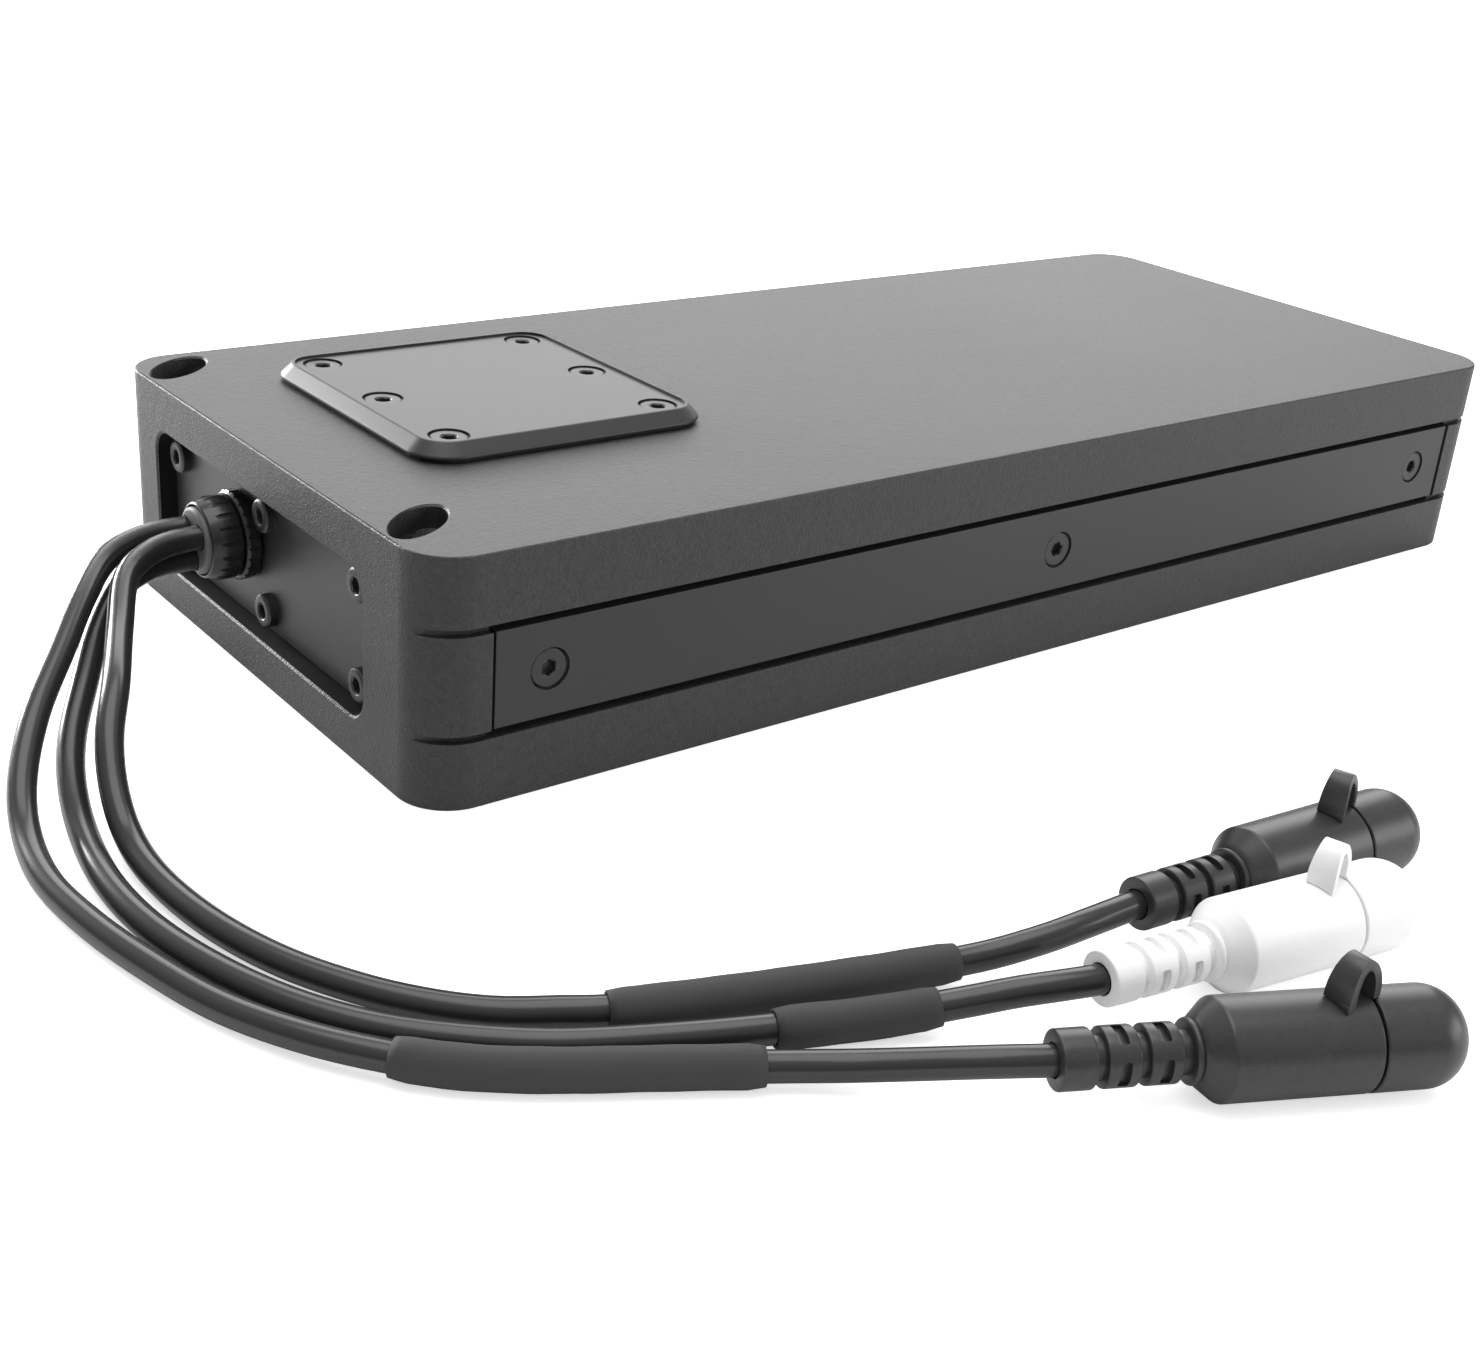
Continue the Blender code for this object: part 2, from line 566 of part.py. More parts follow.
def build_end_plate():
    turn = (0, -math.pi / 2, 0)
    pins = [(z, y, 0) for y, z in end_screw_places()]
    hole = pin_mesh("end_pins", pins, SCREW_HOLE / 2, 8 * MM)
    corner = POCKET_CORNER - GAP
    face = (POCKET_WIDTH - 2 * GAP, POCKET_HEIGHT - 2 * GAP)
    build_gasket("end_gasket", (END_GASKET, *face),
                 (PLATE_BACK + GAP + END_GASKET / 2, POCKET_Y, POCKET_MIDDLE), corner,
                 END_GASKET_WIDTH, hole, (PLATE_FRONT, 0, 0), turn, 0)
    way = pin_mesh("gland_pin", [(GLAND_HEIGHT, GLAND_Y, 0)], GLAND_LOCKNUT / 2 + GAP, 8 * MM, 20)
    cut(bpy.data.objects["end_gasket"], add_cutter("cut_gasket_gland", way, (PLATE_FRONT, 0, 0), turn))

    plate = add_block("end_plate", (END_PLATE_THICKNESS, *face),
                      ((PLATE_FRONT + PLATE_BACK) / 2, POCKET_Y, POCKET_MIDDLE), ALLOY, corner, axis=0)
    cut(plate, add_cutter("cut_plate_holes", hole, (PLATE_FRONT, 0, 0), turn))
    bore = pin_mesh("gland_bore", [(GLAND_HEIGHT, GLAND_Y, 0)], GLAND_SHANK / 2 + GAP, 8 * MM, 20)
    cut(plate, add_cutter("cut_plate_gland", bore, (PLATE_FRONT, 0, 0), turn))
    for index, (y, z) in enumerate(end_screw_places()):
        screw = add_object("end_screw_%d" % (index + 1), CAP_SCREW, SCREW_STEEL)
        screw.location = (PLATE_FRONT - LIFT, y, z)
        screw.rotation_euler = turn


def build_strips():
    for name, side, turn in (("front", -1, math.pi / 2), ("back", 1, -math.pi / 2)):
        face = side * (CASE_WIDTH / 2 - STRIP_SETBACK)
        strip = add_block("side_strip_" + name, (STRIP_LENGTH, STRIP_THICKNESS, STRIP_HEIGHT),
                          (0, face - side * STRIP_THICKNESS / 2, STRIP_MIDDLE), ALLOY)
        points = [(x, side * -STRIP_MIDDLE, 0) for x in strip_screw_places()]
        pins = pin_mesh("strip_pins", points, SCREW_HOLE / 2, 6 * MM)
        cut(strip, add_cutter("cut_strip_holes_" + name, pins, (0, face, 0), (turn, 0, 0)))
        seats = countersink_cutter("strip_seats", points)
        cut(strip, add_cutter("cut_strip_seats_" + name, seats, (0, face, 0), (turn, 0, 0)))
        for index, x in enumerate(strip_screw_places()):
            screw = add_object("strip_screw_%s_%d" % (name, index + 1), LONG_SCREW, SCREW_STEEL)
            screw.location = (x, face - side * LIFT, STRIP_MIDDLE)
            screw.rotation_euler = (turn, 0, 0)


def build_bottom():
    turn = (math.pi, 0, 0)
    points = [(x, -y, 0) for x, y in bottom_screw_places()]
    size = (BOTTOM_LENGTH - 2 * GAP, BOTTOM_WIDTH - 2 * GAP)
    corner = BOTTOM_CORNER - GAP
    cover = add_block("bottom_cover", (*size, BOTTOM_THICKNESS),
                      (BOTTOM_X, 0, BOTTOM_SETBACK + BOTTOM_THICKNESS / 2), ALLOY, corner)
    pins = pin_mesh("bottom_pins", points, SCREW_HOLE / 2, 6 * MM)
    cut(cover, add_cutter("cut_bottom_holes", pins, (0, 0, BOTTOM_SETBACK), turn))
    cut(cover, add_cutter("cut_bottom_seats", countersink_cutter("bottom_seats", points),
                          (0, 0, BOTTOM_SETBACK), turn))
    low = BOTTOM_SETBACK + BOTTOM_THICKNESS + GAP
    width = SIDE_WALL - BOTTOM_SIDE_MARGIN - GAP
    build_gasket("bottom_gasket", (*size, BOTTOM_GASKET), (BOTTOM_X, 0, low + BOTTOM_GASKET / 2), corner,
                 width, pins, (0, 0, BOTTOM_SETBACK), turn)
    for index, (x, y) in enumerate(bottom_screw_places()):
        screw = add_object("bottom_screw_%d" % (index + 1), LONG_SCREW, SCREW_STEEL)
        screw.location = (x, y, BOTTOM_SETBACK + LIFT)
        screw.rotation_euler = turn


def build_electronics():
    spreader = (BOARD_LENGTH - 2 * SPREADER_MARGIN, BOARD_WIDTH - 2 * SPREADER_MARGIN, SPREADER_HEIGHT)
    board_x = CAVITY_X + BOARD_SHIFT
    block = add_block("heat_spreader", spreader, (board_x, 0, SPREADER_TOP - SPREADER_HEIGHT / 2),
                      BARE_ALLOY, 2 * MM, 2)
    window = (COVER_LENGTH, COVER_WIDTH, SPREADER_HEIGHT + 2 * MM)
    mesh = block_mesh("spreader_window", window)
    cut(block, add_cutter("cut_spreader", mesh, (COVER_X - BOARD_SHIFT, COVER_OFFSET,
                                                 SPREADER_TOP - SPREADER_HEIGHT / 2)))
    add_block("main_board", (BOARD_LENGTH, BOARD_WIDTH, BOARD_THICKNESS),
              (board_x, 0, BOARD_TOP - BOARD_THICKNESS / 2), LAMINATE, 3 * MM, 3)
    for name, side in (("uplink", -1), ("downlink", 1)):
        shield = add_block("shield_can_" + name, (SHIELD_LENGTH, SHIELD_WIDTH, SHIELD_HEIGHT),
                           (board_x + SHIELD_SHIFT + side * (SHIELD_LENGTH + SHIELD_SPACING) / 2, 0,
                            BOARD_BOTTOM - GAP - SHIELD_HEIGHT / 2), TINPLATE, 1 * MM, 2)
        inner = block_mesh("shield_inside", (SHIELD_LENGTH - 2 * SHIELD_SHEET,
                                             SHIELD_WIDTH - 2 * SHIELD_SHEET, SHIELD_HEIGHT))
        cut(shield, add_cutter("cut_shield_" + name, inner,
                               shield.location + Vector((0, 0, SHIELD_SHEET))))
    add_block("lead_header", (HEADER_LENGTH, HEADER_WIDTH, HEADER_HEIGHT),
              (HEADER_FRONT + HEADER_LENGTH / 2, GLAND_Y, GLAND_HEIGHT - HEADER_HEIGHT / 2 - HEADER_DROP),
              NYLON, 0.8 * MM, 2)


def build_gland():
    """The gland's pieces are turned about an axis along X through the end plate."""
    axis = bpy.data.objects.new("gland_axis", None)
    PARTS.objects.link(axis)
    axis.location = (PLATE_FRONT, GLAND_Y, GLAND_HEIGHT)
    axis.rotation_euler = (0, -math.pi / 2, 0)
    shank = GLAND_SHANK / 2
    bore = GLAND_BORE / 2
    collar = GLAND_COLLAR / 2
    seal = GLAND_SEAL / 2
    seat = seal + GAP
    top = GAP + GLAND_COLLAR_LENGTH
    tail = -(END_PLATE_THICKNESS + GAP + GLAND_LOCKNUT_LENGTH + GLAND_TAIL)
    floor = GAP + GLAND_FLOOR
    body = turned("gland_body", [(seat, top), (collar - GLAND_EDGE, top), (collar, top - GLAND_EDGE),
                                 (collar, GAP), (shank, GAP), (shank, tail), (bore, tail),
                                 (bore, floor), (seat, floor)],
                  MOULDED_BLACK, closed=True)
    nut_low = top + GAP
    nut_top = nut_low + GLAND_NUT_LENGTH
    nut = turned("gland_nut", [(seat, nut_top), (GLAND_NUT_FRONT / 2 - GLAND_EDGE, nut_top),
                               (GLAND_NUT_FRONT / 2, nut_top - GLAND_EDGE),
                               (GLAND_NUT / 2, nut_top - GLAND_NUT_TAPER), (GLAND_NUT / 2, nut_low),
                               (seat, nut_low)],
                 MOULDED_BLACK, closed=True)
    seal_low = floor + GAP
    seal_top = nut_top + GLAND_SEAL_PROUD
    plug = turned("gland_seal", [(0, seal_top), (seal - GLAND_EDGE, seal_top), (seal, seal_top - GLAND_EDGE),
                                 (seal, seal_low), (0, seal_low)], GREY_RUBBER)
    lock_top = -(END_PLATE_THICKNESS + GAP)
    lock = turned("gland_locknut", [(shank + GAP, lock_top), (GLAND_LOCKNUT / 2, lock_top),
                                    (GLAND_LOCKNUT / 2, lock_top - GLAND_LOCKNUT_LENGTH),
                                    (shank + GAP, lock_top - GLAND_LOCKNUT_LENGTH)], MOULDED_BLACK,
                  closed=True)
    holes = pin_mesh("seal_holes", [(z, y, seal_top) for y, z in map(lead_offset, LEADS.values())],
                     SEAL_BORE / 2, 20 * MM)
    cutter = add_cutter("cut_seal_holes", holes, (0, 0, 0))
    cut(plug, cutter)
    for item in (body, nut, plug, lock, cutter):
        item.parent = axis


def lead_offset(lead):
    """Where a lead lies from the gland's axis, as (y, z)."""
    return (LEAD_CIRCLE * math.cos(lead["around"]), LEAD_CIRCLE * math.sin(lead["around"]))


def connector_frame(lead):
    x, y, heading = lead["connector"]
    turn = math.radians(heading)
    start = Vector((x * MM, y * MM, CONNECTOR_HEIGHT))
    return start, Vector((math.cos(turn), math.sin(turn), 0)), turn


def route_of(lead):
    """The lead's route points: through the gland, over the ground and into its connector."""
    y, z = lead_offset(lead)
    y += GLAND_Y
    z += GLAND_HEIGHT
    start, ahead, _ = connector_frame(lead)
    inside = [Vector((x, y, z)) for x in (HEADER_FRONT - 2 * MM, PLATE_BACK, SEAL_FRONT,
                                          SEAL_FRONT - LEAD_STRAIGHT)]
    outside = [Vector(point) * MM for point in lead["route"]]
    return inside + outside + [start, start + ahead * LEAD_TAIL]


def smooth_points(route, step):
    """Equally spaced points on a Catmull-Rom curve through the route."""
    ends = [route[0] * 2 - route[1]] + route + [route[-1] * 2 - route[-2]]
    fine = []
    for a, b, c, d in zip(ends, ends[1:], ends[2:], ends[3:]):
        for part in range(12):
            t = part / 12
            fine.append((b * 2 + (c - a) * t + (a * 2 - b * 5 + c * 4 - d) * t * t
                         + (b * 3 - a - c * 3 + d) * t ** 3) / 2)
    fine.append(route[-1])
    reach = [0.0]
    for first, second in zip(fine, fine[1:]):
        reach.append(reach[-1] + (second - first).length)
    count = round(reach[-1] / step)
    points = []
    index = 0
    for number in range(count + 1):
        target = reach[-1] * number / count
        while index < len(fine) - 2 and reach[index + 1] < target:
            index += 1
        share = (target - reach[index]) / (reach[index + 1] - reach[index])
        points.append(fine[index].lerp(fine[index + 1], min(share, 1.0)))
    return points


def tube(name, points, radius, capped=True):
    curve = bpy.data.curves.new(name, "CURVE")
    curve.dimensions = "3D"
    curve.bevel_depth = radius
    curve.bevel_resolution = 2
    curve.use_fill_caps = capped
    spline = curve.splines.new("POLY")
    spline.points.add(len(points) - 1)
    for point, place in zip(spline.points, points):
        point.co = (*place, 1.0)
    return add_object(name, curve, BLACK_JACKET)


def build_lead(name, lead):
    points = smooth_points(route_of(lead), LEAD_STEP)
    tube("lead_" + name, points, LEAD / 2)
    first, last = (round(share * (len(points) - 1)) for share in lead["sleeve"])
    skin = tube("sleeve_skin", points[first:last + 1], LEAD / 2 + GAP, False)
    sleeve = add_object("sleeve_" + name, baked_mesh(skin), SHRINK)
    wall = sleeve.modifiers.new("wall", "SOLIDIFY")
    wall.thickness = SLEEVE_WALL
    wall.offset = 1.0
    wall.use_rim = True


def connector_profile():
    """The moulded body from its front down to the lead's end, in the axis's own direction."""
    points = [(CARRIER_RADIUS + GAP, SEAM), (CONNECTOR_RADIUS, SEAM), (CONNECTOR_RADIUS, CONE_END),
              (RIB_RADIUS, CONE_START)]
    place = CONE_START - CONE_FOOT
    points.append((RIB_RADIUS, place))
    for radius in (RIB_RADIUS, RIB_RADIUS, COLLAR_RADIUS):
        points.append((NECK_RADIUS, place))
        place -= NECK_LENGTH
        points.append((NECK_RADIUS, place))
        points.append((radius, place))
        place -= RIB_LENGTH
        if radius != COLLAR_RADIUS:
            points.append((radius, place))
    points.append((COLLAR_RADIUS, 0))
    bore = LEAD / 2 + GAP
    points += [(bore, 0), (bore, LEAD_SOCKET), (0, LEAD_SOCKET)]
    floor = SEAM - CARRIER_DEPTH
    return points, [(0, floor), (CARRIER_RADIUS + GAP, floor)]


def build_connector(name, lead, body_finish):
    """A capped in-line connector: moulded body, contact carrier, dust cap and tether."""
    start, ahead, turn = connector_frame(lead)
    axis = bpy.data.objects.new("connector_axis_" + name, None)
    PARTS.objects.link(axis)
    axis.location = start
    axis.rotation_euler = (0, math.pi / 2, turn)

    outer, inner = connector_profile()
    body = turned("connector_" + name, inner + outer, body_finish)
    floor = SEAM - CARRIER_DEPTH + GAP
    carrier_top = SEAM + CARRIER_PROUD
    carrier = turned("contact_carrier_" + name,
                     [(0, carrier_top), (CARRIER_RADIUS - HEAD_EDGE, carrier_top),
                      (CARRIER_RADIUS, carrier_top - HEAD_EDGE), (CARRIER_RADIUS, floor), (0, floor)],
                     NYLON)
    ring = [(CONTACT_CIRCLE * math.cos(a), CONTACT_CIRCLE * math.sin(a), 0)
            for a in (math.radians(90 + 120 * number) for number in range(3))]
    contacts = add_cutter("cut_contacts_" + name, pin_mesh("contacts", ring, CONTACT / 2, CONTACT_DEPTH, 8),
                          (0, 0, carrier_top))
    cut(carrier, contacts)

    cap = turned("dust_cap_" + name, cap_profile(), body_finish)
    cap.location = (0, 0, SEAM)
    tether = build_tether(name, body_finish)
    for item in (body, carrier, contacts, cap, tether):
        item.parent = axis


def cap_profile():
    """The dust cap from the middle of its bore, round its skirt and over its domed end."""
    bore = CARRIER_RADIUS + GAP
    points = [(0, CAP_LENGTH)]
    middle = CONNECTOR_RADIUS - CAP_DOME
    for number in range(CAP_DOME_STEPS + 1):
        angle = math.pi / 2 * (1 - number / CAP_DOME_STEPS)
        points.append((middle + CAP_DOME * math.cos(angle),
                       CAP_LENGTH - CAP_DOME + CAP_DOME * math.sin(angle)))
    return points + [(CONNECTOR_RADIUS, GAP), (bore, GAP), (bore, CAP_BORE_DEPTH), (0, CAP_BORE_DEPTH)]


def build_tether(name, finish):
    """A strap arched over the seam, as a flat outline given the strap's width."""
    curve = bpy.data.curves.new("tether_" + name, "CURVE")
    curve.dimensions = "2D"
    curve.fill_mode = "BOTH"
    curve.extrude = TETHER_WIDTH / 2
    spline = curve.splines.new("POLY")
    outline = []
    half = TETHER_THICKNESS / 2
    there = list(range(TETHER_STEPS + 1))
    for grow, order in ((half, there), (-half, there[::-1])):
        for number in order:
            angle = math.pi * number / TETHER_STEPS
            outline.append(((TETHER_SPAN / 2 + grow) * math.cos(angle),
                            (TETHER_RISE + grow) * math.sin(angle)))
    spline.points.add(len(outline) - 1)
    for point, (x, y) in zip(spline.points, outline):
        point.co = (x, y, 0, 1)
    spline.use_cyclic_u = True
    tether = add_object("tether_" + name, curve, finish)
    upright = Matrix(((0, -1, 0), (0, 0, 1), (-1, 0, 0))).to_4x4()
    middle = TETHER_START + TETHER_SPAN / 2
    place = Matrix.Translation((-CONNECTOR_RADIUS - TETHER_CLEARANCE, 0, middle))
    tether.matrix_local = place @ Matrix.Rotation(TETHER_TURN, 4, "X") @ upright
    return tether


clear_scene()
PARTS = new_collection("cellular_signal_booster")
CUTTERS = new_collection("cutters")
ALLOY = make_material("black_anodised_alloy", (0.022, 0.022, 0.023), 0.55, 0.6)
BARE_ALLOY = make_material("bare_alloy", (0.6, 0.6, 0.61), 0.4, 1.0)
RUBBER = make_material("gasket_rubber", (0.012, 0.012, 0.012), 0.8)
GREY_RUBBER = make_material("seal_rubber", (0.35, 0.35, 0.34), 0.6)
SCREW_STEEL = make_material("black_oxide_steel", (0.03, 0.03, 0.032), 0.35, 0.9)
MOULDED_BLACK = make_material("moulded_black", (0.02, 0.02, 0.02), 0.45)
BLACK_JACKET = make_material("lead_jacket", (0.012, 0.012, 0.012), 0.25)
SHRINK = make_material("shrink_tube", (0.02, 0.02, 0.02), 0.55)
WHITE_MOULD = make_material("moulded_white", (0.85, 0.85, 0.85), 0.4)
NYLON = make_material("carrier_nylon", (0.05, 0.05, 0.055), 0.5)
LAMINATE = make_material("board_laminate", (0.02, 0.12, 0.05), 0.4)
TINPLATE = make_material("tinplate", (0.62, 0.62, 0.6), 0.3, 1.0)

SHORT_SCREW = countersunk_screw_mesh(SHORT_SCREW_LENGTH)
LONG_SCREW = countersunk_screw_mesh(SCREW_LENGTH)
CAP_SCREW = cap_screw_mesh(SCREW_LENGTH)

build_housing()
build_access_cover()
build_end_plate()
build_strips()
build_bottom()
build_electronics()
build_gland()
for lead_name, lead_facts in LEADS.items():
    build_lead(lead_name, lead_facts)
    finish = WHITE_MOULD if lead_name == "middle" else MOULDED_BLACK
    build_connector(lead_name, lead_facts, finish)
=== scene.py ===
"""A rugged cellular signal booster: the looks of its pieces, built round its packed frame."""
import math
import random

import bmesh
import bpy
from bpy.props import FloatProperty, FloatVectorProperty, PointerProperty
from mathutils import Matrix, Quaternion, Vector


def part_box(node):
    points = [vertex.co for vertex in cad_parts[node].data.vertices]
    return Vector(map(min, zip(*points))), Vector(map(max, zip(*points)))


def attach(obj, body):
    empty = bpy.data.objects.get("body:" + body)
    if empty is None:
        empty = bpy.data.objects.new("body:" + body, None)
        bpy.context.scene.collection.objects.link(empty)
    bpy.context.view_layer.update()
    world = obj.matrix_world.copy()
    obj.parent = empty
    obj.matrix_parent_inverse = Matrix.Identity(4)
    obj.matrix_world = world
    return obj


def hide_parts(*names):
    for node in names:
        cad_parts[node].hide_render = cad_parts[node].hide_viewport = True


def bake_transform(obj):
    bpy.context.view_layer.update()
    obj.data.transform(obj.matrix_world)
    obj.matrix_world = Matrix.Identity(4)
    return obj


bl_info = {
    "name": "Cellular signal booster",
    "version": (1, 0, 0),
    "blender": (4, 5, 0),
    "location": "View3D > Sidebar > Booster",
    "description": "Builds the looks of a rugged cellular signal booster round its packed frame",
    "category": "Add Mesh",
}

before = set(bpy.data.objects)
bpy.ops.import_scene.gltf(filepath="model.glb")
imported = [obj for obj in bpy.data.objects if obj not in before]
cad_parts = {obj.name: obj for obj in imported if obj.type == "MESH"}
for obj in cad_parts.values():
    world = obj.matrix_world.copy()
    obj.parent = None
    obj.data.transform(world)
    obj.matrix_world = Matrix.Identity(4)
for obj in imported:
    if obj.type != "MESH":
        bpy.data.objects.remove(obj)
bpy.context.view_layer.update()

MM = 0.001
GAP = 0.3 * MM
WELD = 0.002 * MM
SAME = 1e-7
FACE_SINK = 0.4 * MM
HEAD_SINK = 0.18 * MM
HEAD_RADIUS = 2.9 * MM
SCREW_CLEARANCE = 1.75 * MM
COVER_SEATS = "access_screw_%d"
ROOT = "booster"

# Turns that point a shape's own +Z out of each side of the case
UP = Matrix.Identity(4)
DOWN = Matrix.Rotation(math.pi, 4, "X")
TO_FRONT = Matrix.Rotation(math.pi / 2, 4, "X")
TO_BACK = Matrix.Rotation(-math.pi / 2, 4, "X")
TO_END = Matrix.Rotation(-math.pi / 2, 4, "Y")

# Each group of screws: how many, the turn out of its side, the axis its heads face and which way
SCREW_GROUPS = {
    "access_screw_%d": (6, UP, 2, 1),
    "bottom_screw_%d": (6, DOWN, 2, -1),
    "strip_screw_front_%d": (3, TO_FRONT, 1, -1),
    "strip_screw_back_%d": (3, TO_BACK, 1, 1),
    "end_screw_%d": (6, TO_END, 0, -1),
}

# The leads, in millimetres: where each leaves the gland, its route and its connector
GLAND_PLACE = (-117.0, 10.5, 20.5)
SEAL_FRONT = -125.5
LEADS = {
    "outer": {
        "around": math.radians(30),
        "route": [
            (-134.2, 11.6, 21.7), (-140.3, 8.1, 20.7), (-146.7, 0.3, 18.5), (-153.2, -8.4, 15.2),
            (-160.0, -17.2, 11.3), (-165.0, -25.4, 6.6), (-167.6, -33.4, 3.2), (-169.0, -44.3, 2.2),
            (-168.1, -56.0, 2.1), (-165.8, -67.6, 2.1), (-162.3, -79.6, 2.1), (-157.5, -90.1, 2.6),
            (-151.7, -98.3, 2.8), (-145.4, -104.7, 2.8), (-137.3, -110.4, 2.8),
            (-126.7, -116.5, 2.8), (-115.7, -122.9, 2.8), (-109.5, -127.1, 3.1),
            (-104.4, -131.7, 4.2), (-100.4, -135.6, 5.3), (-96.6, -138.8, 6.0),
        ],
        "connector": (-92.4, -141.4, -25.5),
    },
    "middle": {
        "around": math.radians(-90),
        "route": [
            (-133.6, 9.5, 17.6), (-139.3, 6.0, 16.6), (-145.6, -2.0, 14.3), (-150.9, -10.8, 11.4),
            (-155.7, -18.5, 7.9), (-158.7, -25.5, 4.9), (-160.9, -34.7, 2.4), (-162.7, -47.2, 2.1),
            (-162.5, -59.2, 2.1), (-160.1, -70.9, 2.1), (-156.0, -81.9, 2.1), (-150.7, -90.8, 2.1),
            (-143.9, -98.0, 2.1), (-134.1, -105.5, 2.1), (-122.4, -112.0, 2.5),
            (-112.1, -116.8, 2.8), (-100.7, -121.2, 2.8), (-91.3, -125.5, 4.0),
            (-85.4, -128.7, 5.3), (-80.6, -131.2, 6.0),
        ],
        "connector": (-75.6, -132.9, -8.8),
    },
    "inner": {
        "around": math.radians(150),
        "route": [
            (-133.6, 6.7, 21.5), (-139.2, 2.2, 20.2), (-144.3, -7.8, 17.5), (-150.1, -20.6, 15.0),
            (-154.1, -27.9, 11.0), (-156.1, -33.9, 6.5), (-157.0, -40.9, 3.1), (-157.3, -51.2, 2.2),
            (-155.9, -63.6, 2.2), (-152.5, -74.8, 2.1), (-147.6, -84.3, 2.1), (-142.5, -91.2, 2.1),
            (-136.9, -96.7, 2.2), (-130.7, -101.2, 2.7), (-123.8, -104.9, 2.8),
            (-104.1, -111.7, 2.8), (-83.9, -118.1, 3.2), (-74.7, -121.5, 4.8), (-66.8, -123.0, 5.9),
        ],
        "connector": (-58.6, -123.4, -5.5),
    },
}
LEAD_START = -99.0
LEAD_INSIDE = -114.0
LEAD_STRAIGHT = 3.0
LEAD_TAIL = 6.0
LEAD_STEP = 2 * MM
SLEEVE_STEP = 1 * MM
CONNECTOR_AXIS_HEIGHT = 6.15
RIB_ENDS = [(14.2, 10.3), (9.2, 5.3), (4.1, 0)]
CONNECTOR_SEAM = 37.2 * MM
CONNECTOR_BORE = 4.6 * MM
EDGE_ROUND = 0.3 * MM
PALE_LEAD = "middle"
CAP_LENGTH = 12.5 * MM
CAP_DOME = 5 * MM
TETHER_MIDDLE = 34.9 * MM
TETHER_TURN = math.radians(-25)


def length_setting(name, description, default, low, high):
    """A length that a user may change, given in millimetres."""
    return FloatProperty(name=name, description=description, default=default * MM, min=low * MM,
                         max=high * MM, subtype="DISTANCE", unit="LENGTH")


def colour_setting(name, description, default):
    """A colour that a user may change."""
    return FloatVectorProperty(name=name, description=description, subtype="COLOR", size=3,
                               default=default, min=0, max=1)


class BoosterSizes(bpy.types.PropertyGroup):
    """Sizes of the booster's visible detail."""
    corner: length_setting("Case corner", "Radius of the case's upright corners", 8, 1, 20)
    rim: length_setting("Case rim", "Rounding of the case's top and bottom rims", 0.35, 0.05, 1)
    groove: length_setting("Groove", "Height of the grooves beside each strip", 1.15, 0.3, 3)
    groove_depth: length_setting("Groove depth", "Depth of the grooves", 1.3, 0.3, 3)
    cover_bevel: length_setting("Cover bevel", "Width of the access cover's bevel", 1.9, 0.2, 2)
    hex_socket: length_setting("Hex socket", "Width across flats of the hex sockets", 2.3, 1, 3)
    lead: length_setting("Lead", "Diameter of each lead", 3.8, 1, 6)
    sleeve: length_setting("Shrink sleeve", "Outer diameter of each shrink sleeve", 5.2, 1, 8)
    connector: length_setting("Connector", "Radius of each connector's barrel", 6.1, 3, 8)


class BoosterColours(bpy.types.PropertyGroup):
    """Colours of the booster's main finishes."""
    case: colour_setting("Case", "Blasted and anodised case", (0.021, 0.021, 0.0215))
    plates: colour_setting("Plates", "Anodised covers, strips and end plate", (0.018, 0.018, 0.0185))
    moulding: colour_setting("Dark moulding", "Dark connectors and caps", (0.024, 0.024, 0.024))
    pale_moulding: colour_setting("Pale moulding", "Pale connector and cap", (0.90, 0.90, 0.895))
    jacket: colour_setting("Lead jacket", "Lead jackets", (0.006, 0.006, 0.0063))


def sizes():
    return bpy.context.scene.booster_sizes


def colours():
    return bpy.context.scene.booster_colours


# ---------------------------------------------------------------- materials


def add_node(tree, kind, inputs=None, **settings):
    """Add a shader node, set it, and fill or link its inputs."""
    made = tree.nodes.new(kind)
    for name, value in settings.items():
        setattr(made, name, value)
    for name, value in (inputs or {}).items():
        if isinstance(value, bpy.types.NodeSocket):
            tree.links.new(value, made.inputs[name])
        else:
            made.inputs[name].default_value = value
    return made


def new_group(name, inputs, outputs):
    """Start a shader node group with float inputs and the named float outputs."""
    tree = bpy.data.node_groups.new(name, "ShaderNodeTree")
    for label, value in inputs:
        socket = tree.interface.new_socket(name=label, in_out="INPUT", socket_type="NodeSocketFloat")
        socket.default_value = value
    for label in outputs:
        tree.interface.new_socket(name=label, in_out="OUTPUT", socket_type="NodeSocketFloat")
    return tree, tree.nodes.new("NodeGroupInput"), tree.nodes.new("NodeGroupOutput")


def math_node(tree, operation, first, second=0.5):
    made = tree.nodes.new("ShaderNodeMath")
    made.operation = operation
    for socket, value in zip(made.inputs, (first, second)):
        if isinstance(value, bpy.types.NodeSocket):
            tree.links.new(value, socket)
        else:
            socket.default_value = value
    return made.outputs[0]


def ranged(tree, value, low, high, to_low=0.0, to_high=1.0):
    made = add_node(tree, "ShaderNodeMapRange", {"Value": value, "From Min": low, "From Max": high,
                                                 "To Min": to_low, "To Max": to_high})
    return made.outputs["Result"]


def noise(tree, where, scale, detail=2.0, roughness=0.5, distortion=0.0):
    made = add_node(tree, "ShaderNodeTexNoise", {"Vector": where, "Scale": scale, "Detail": detail,
                                                 "Roughness": roughness, "Distortion": distortion})
    return made.outputs["Fac"]


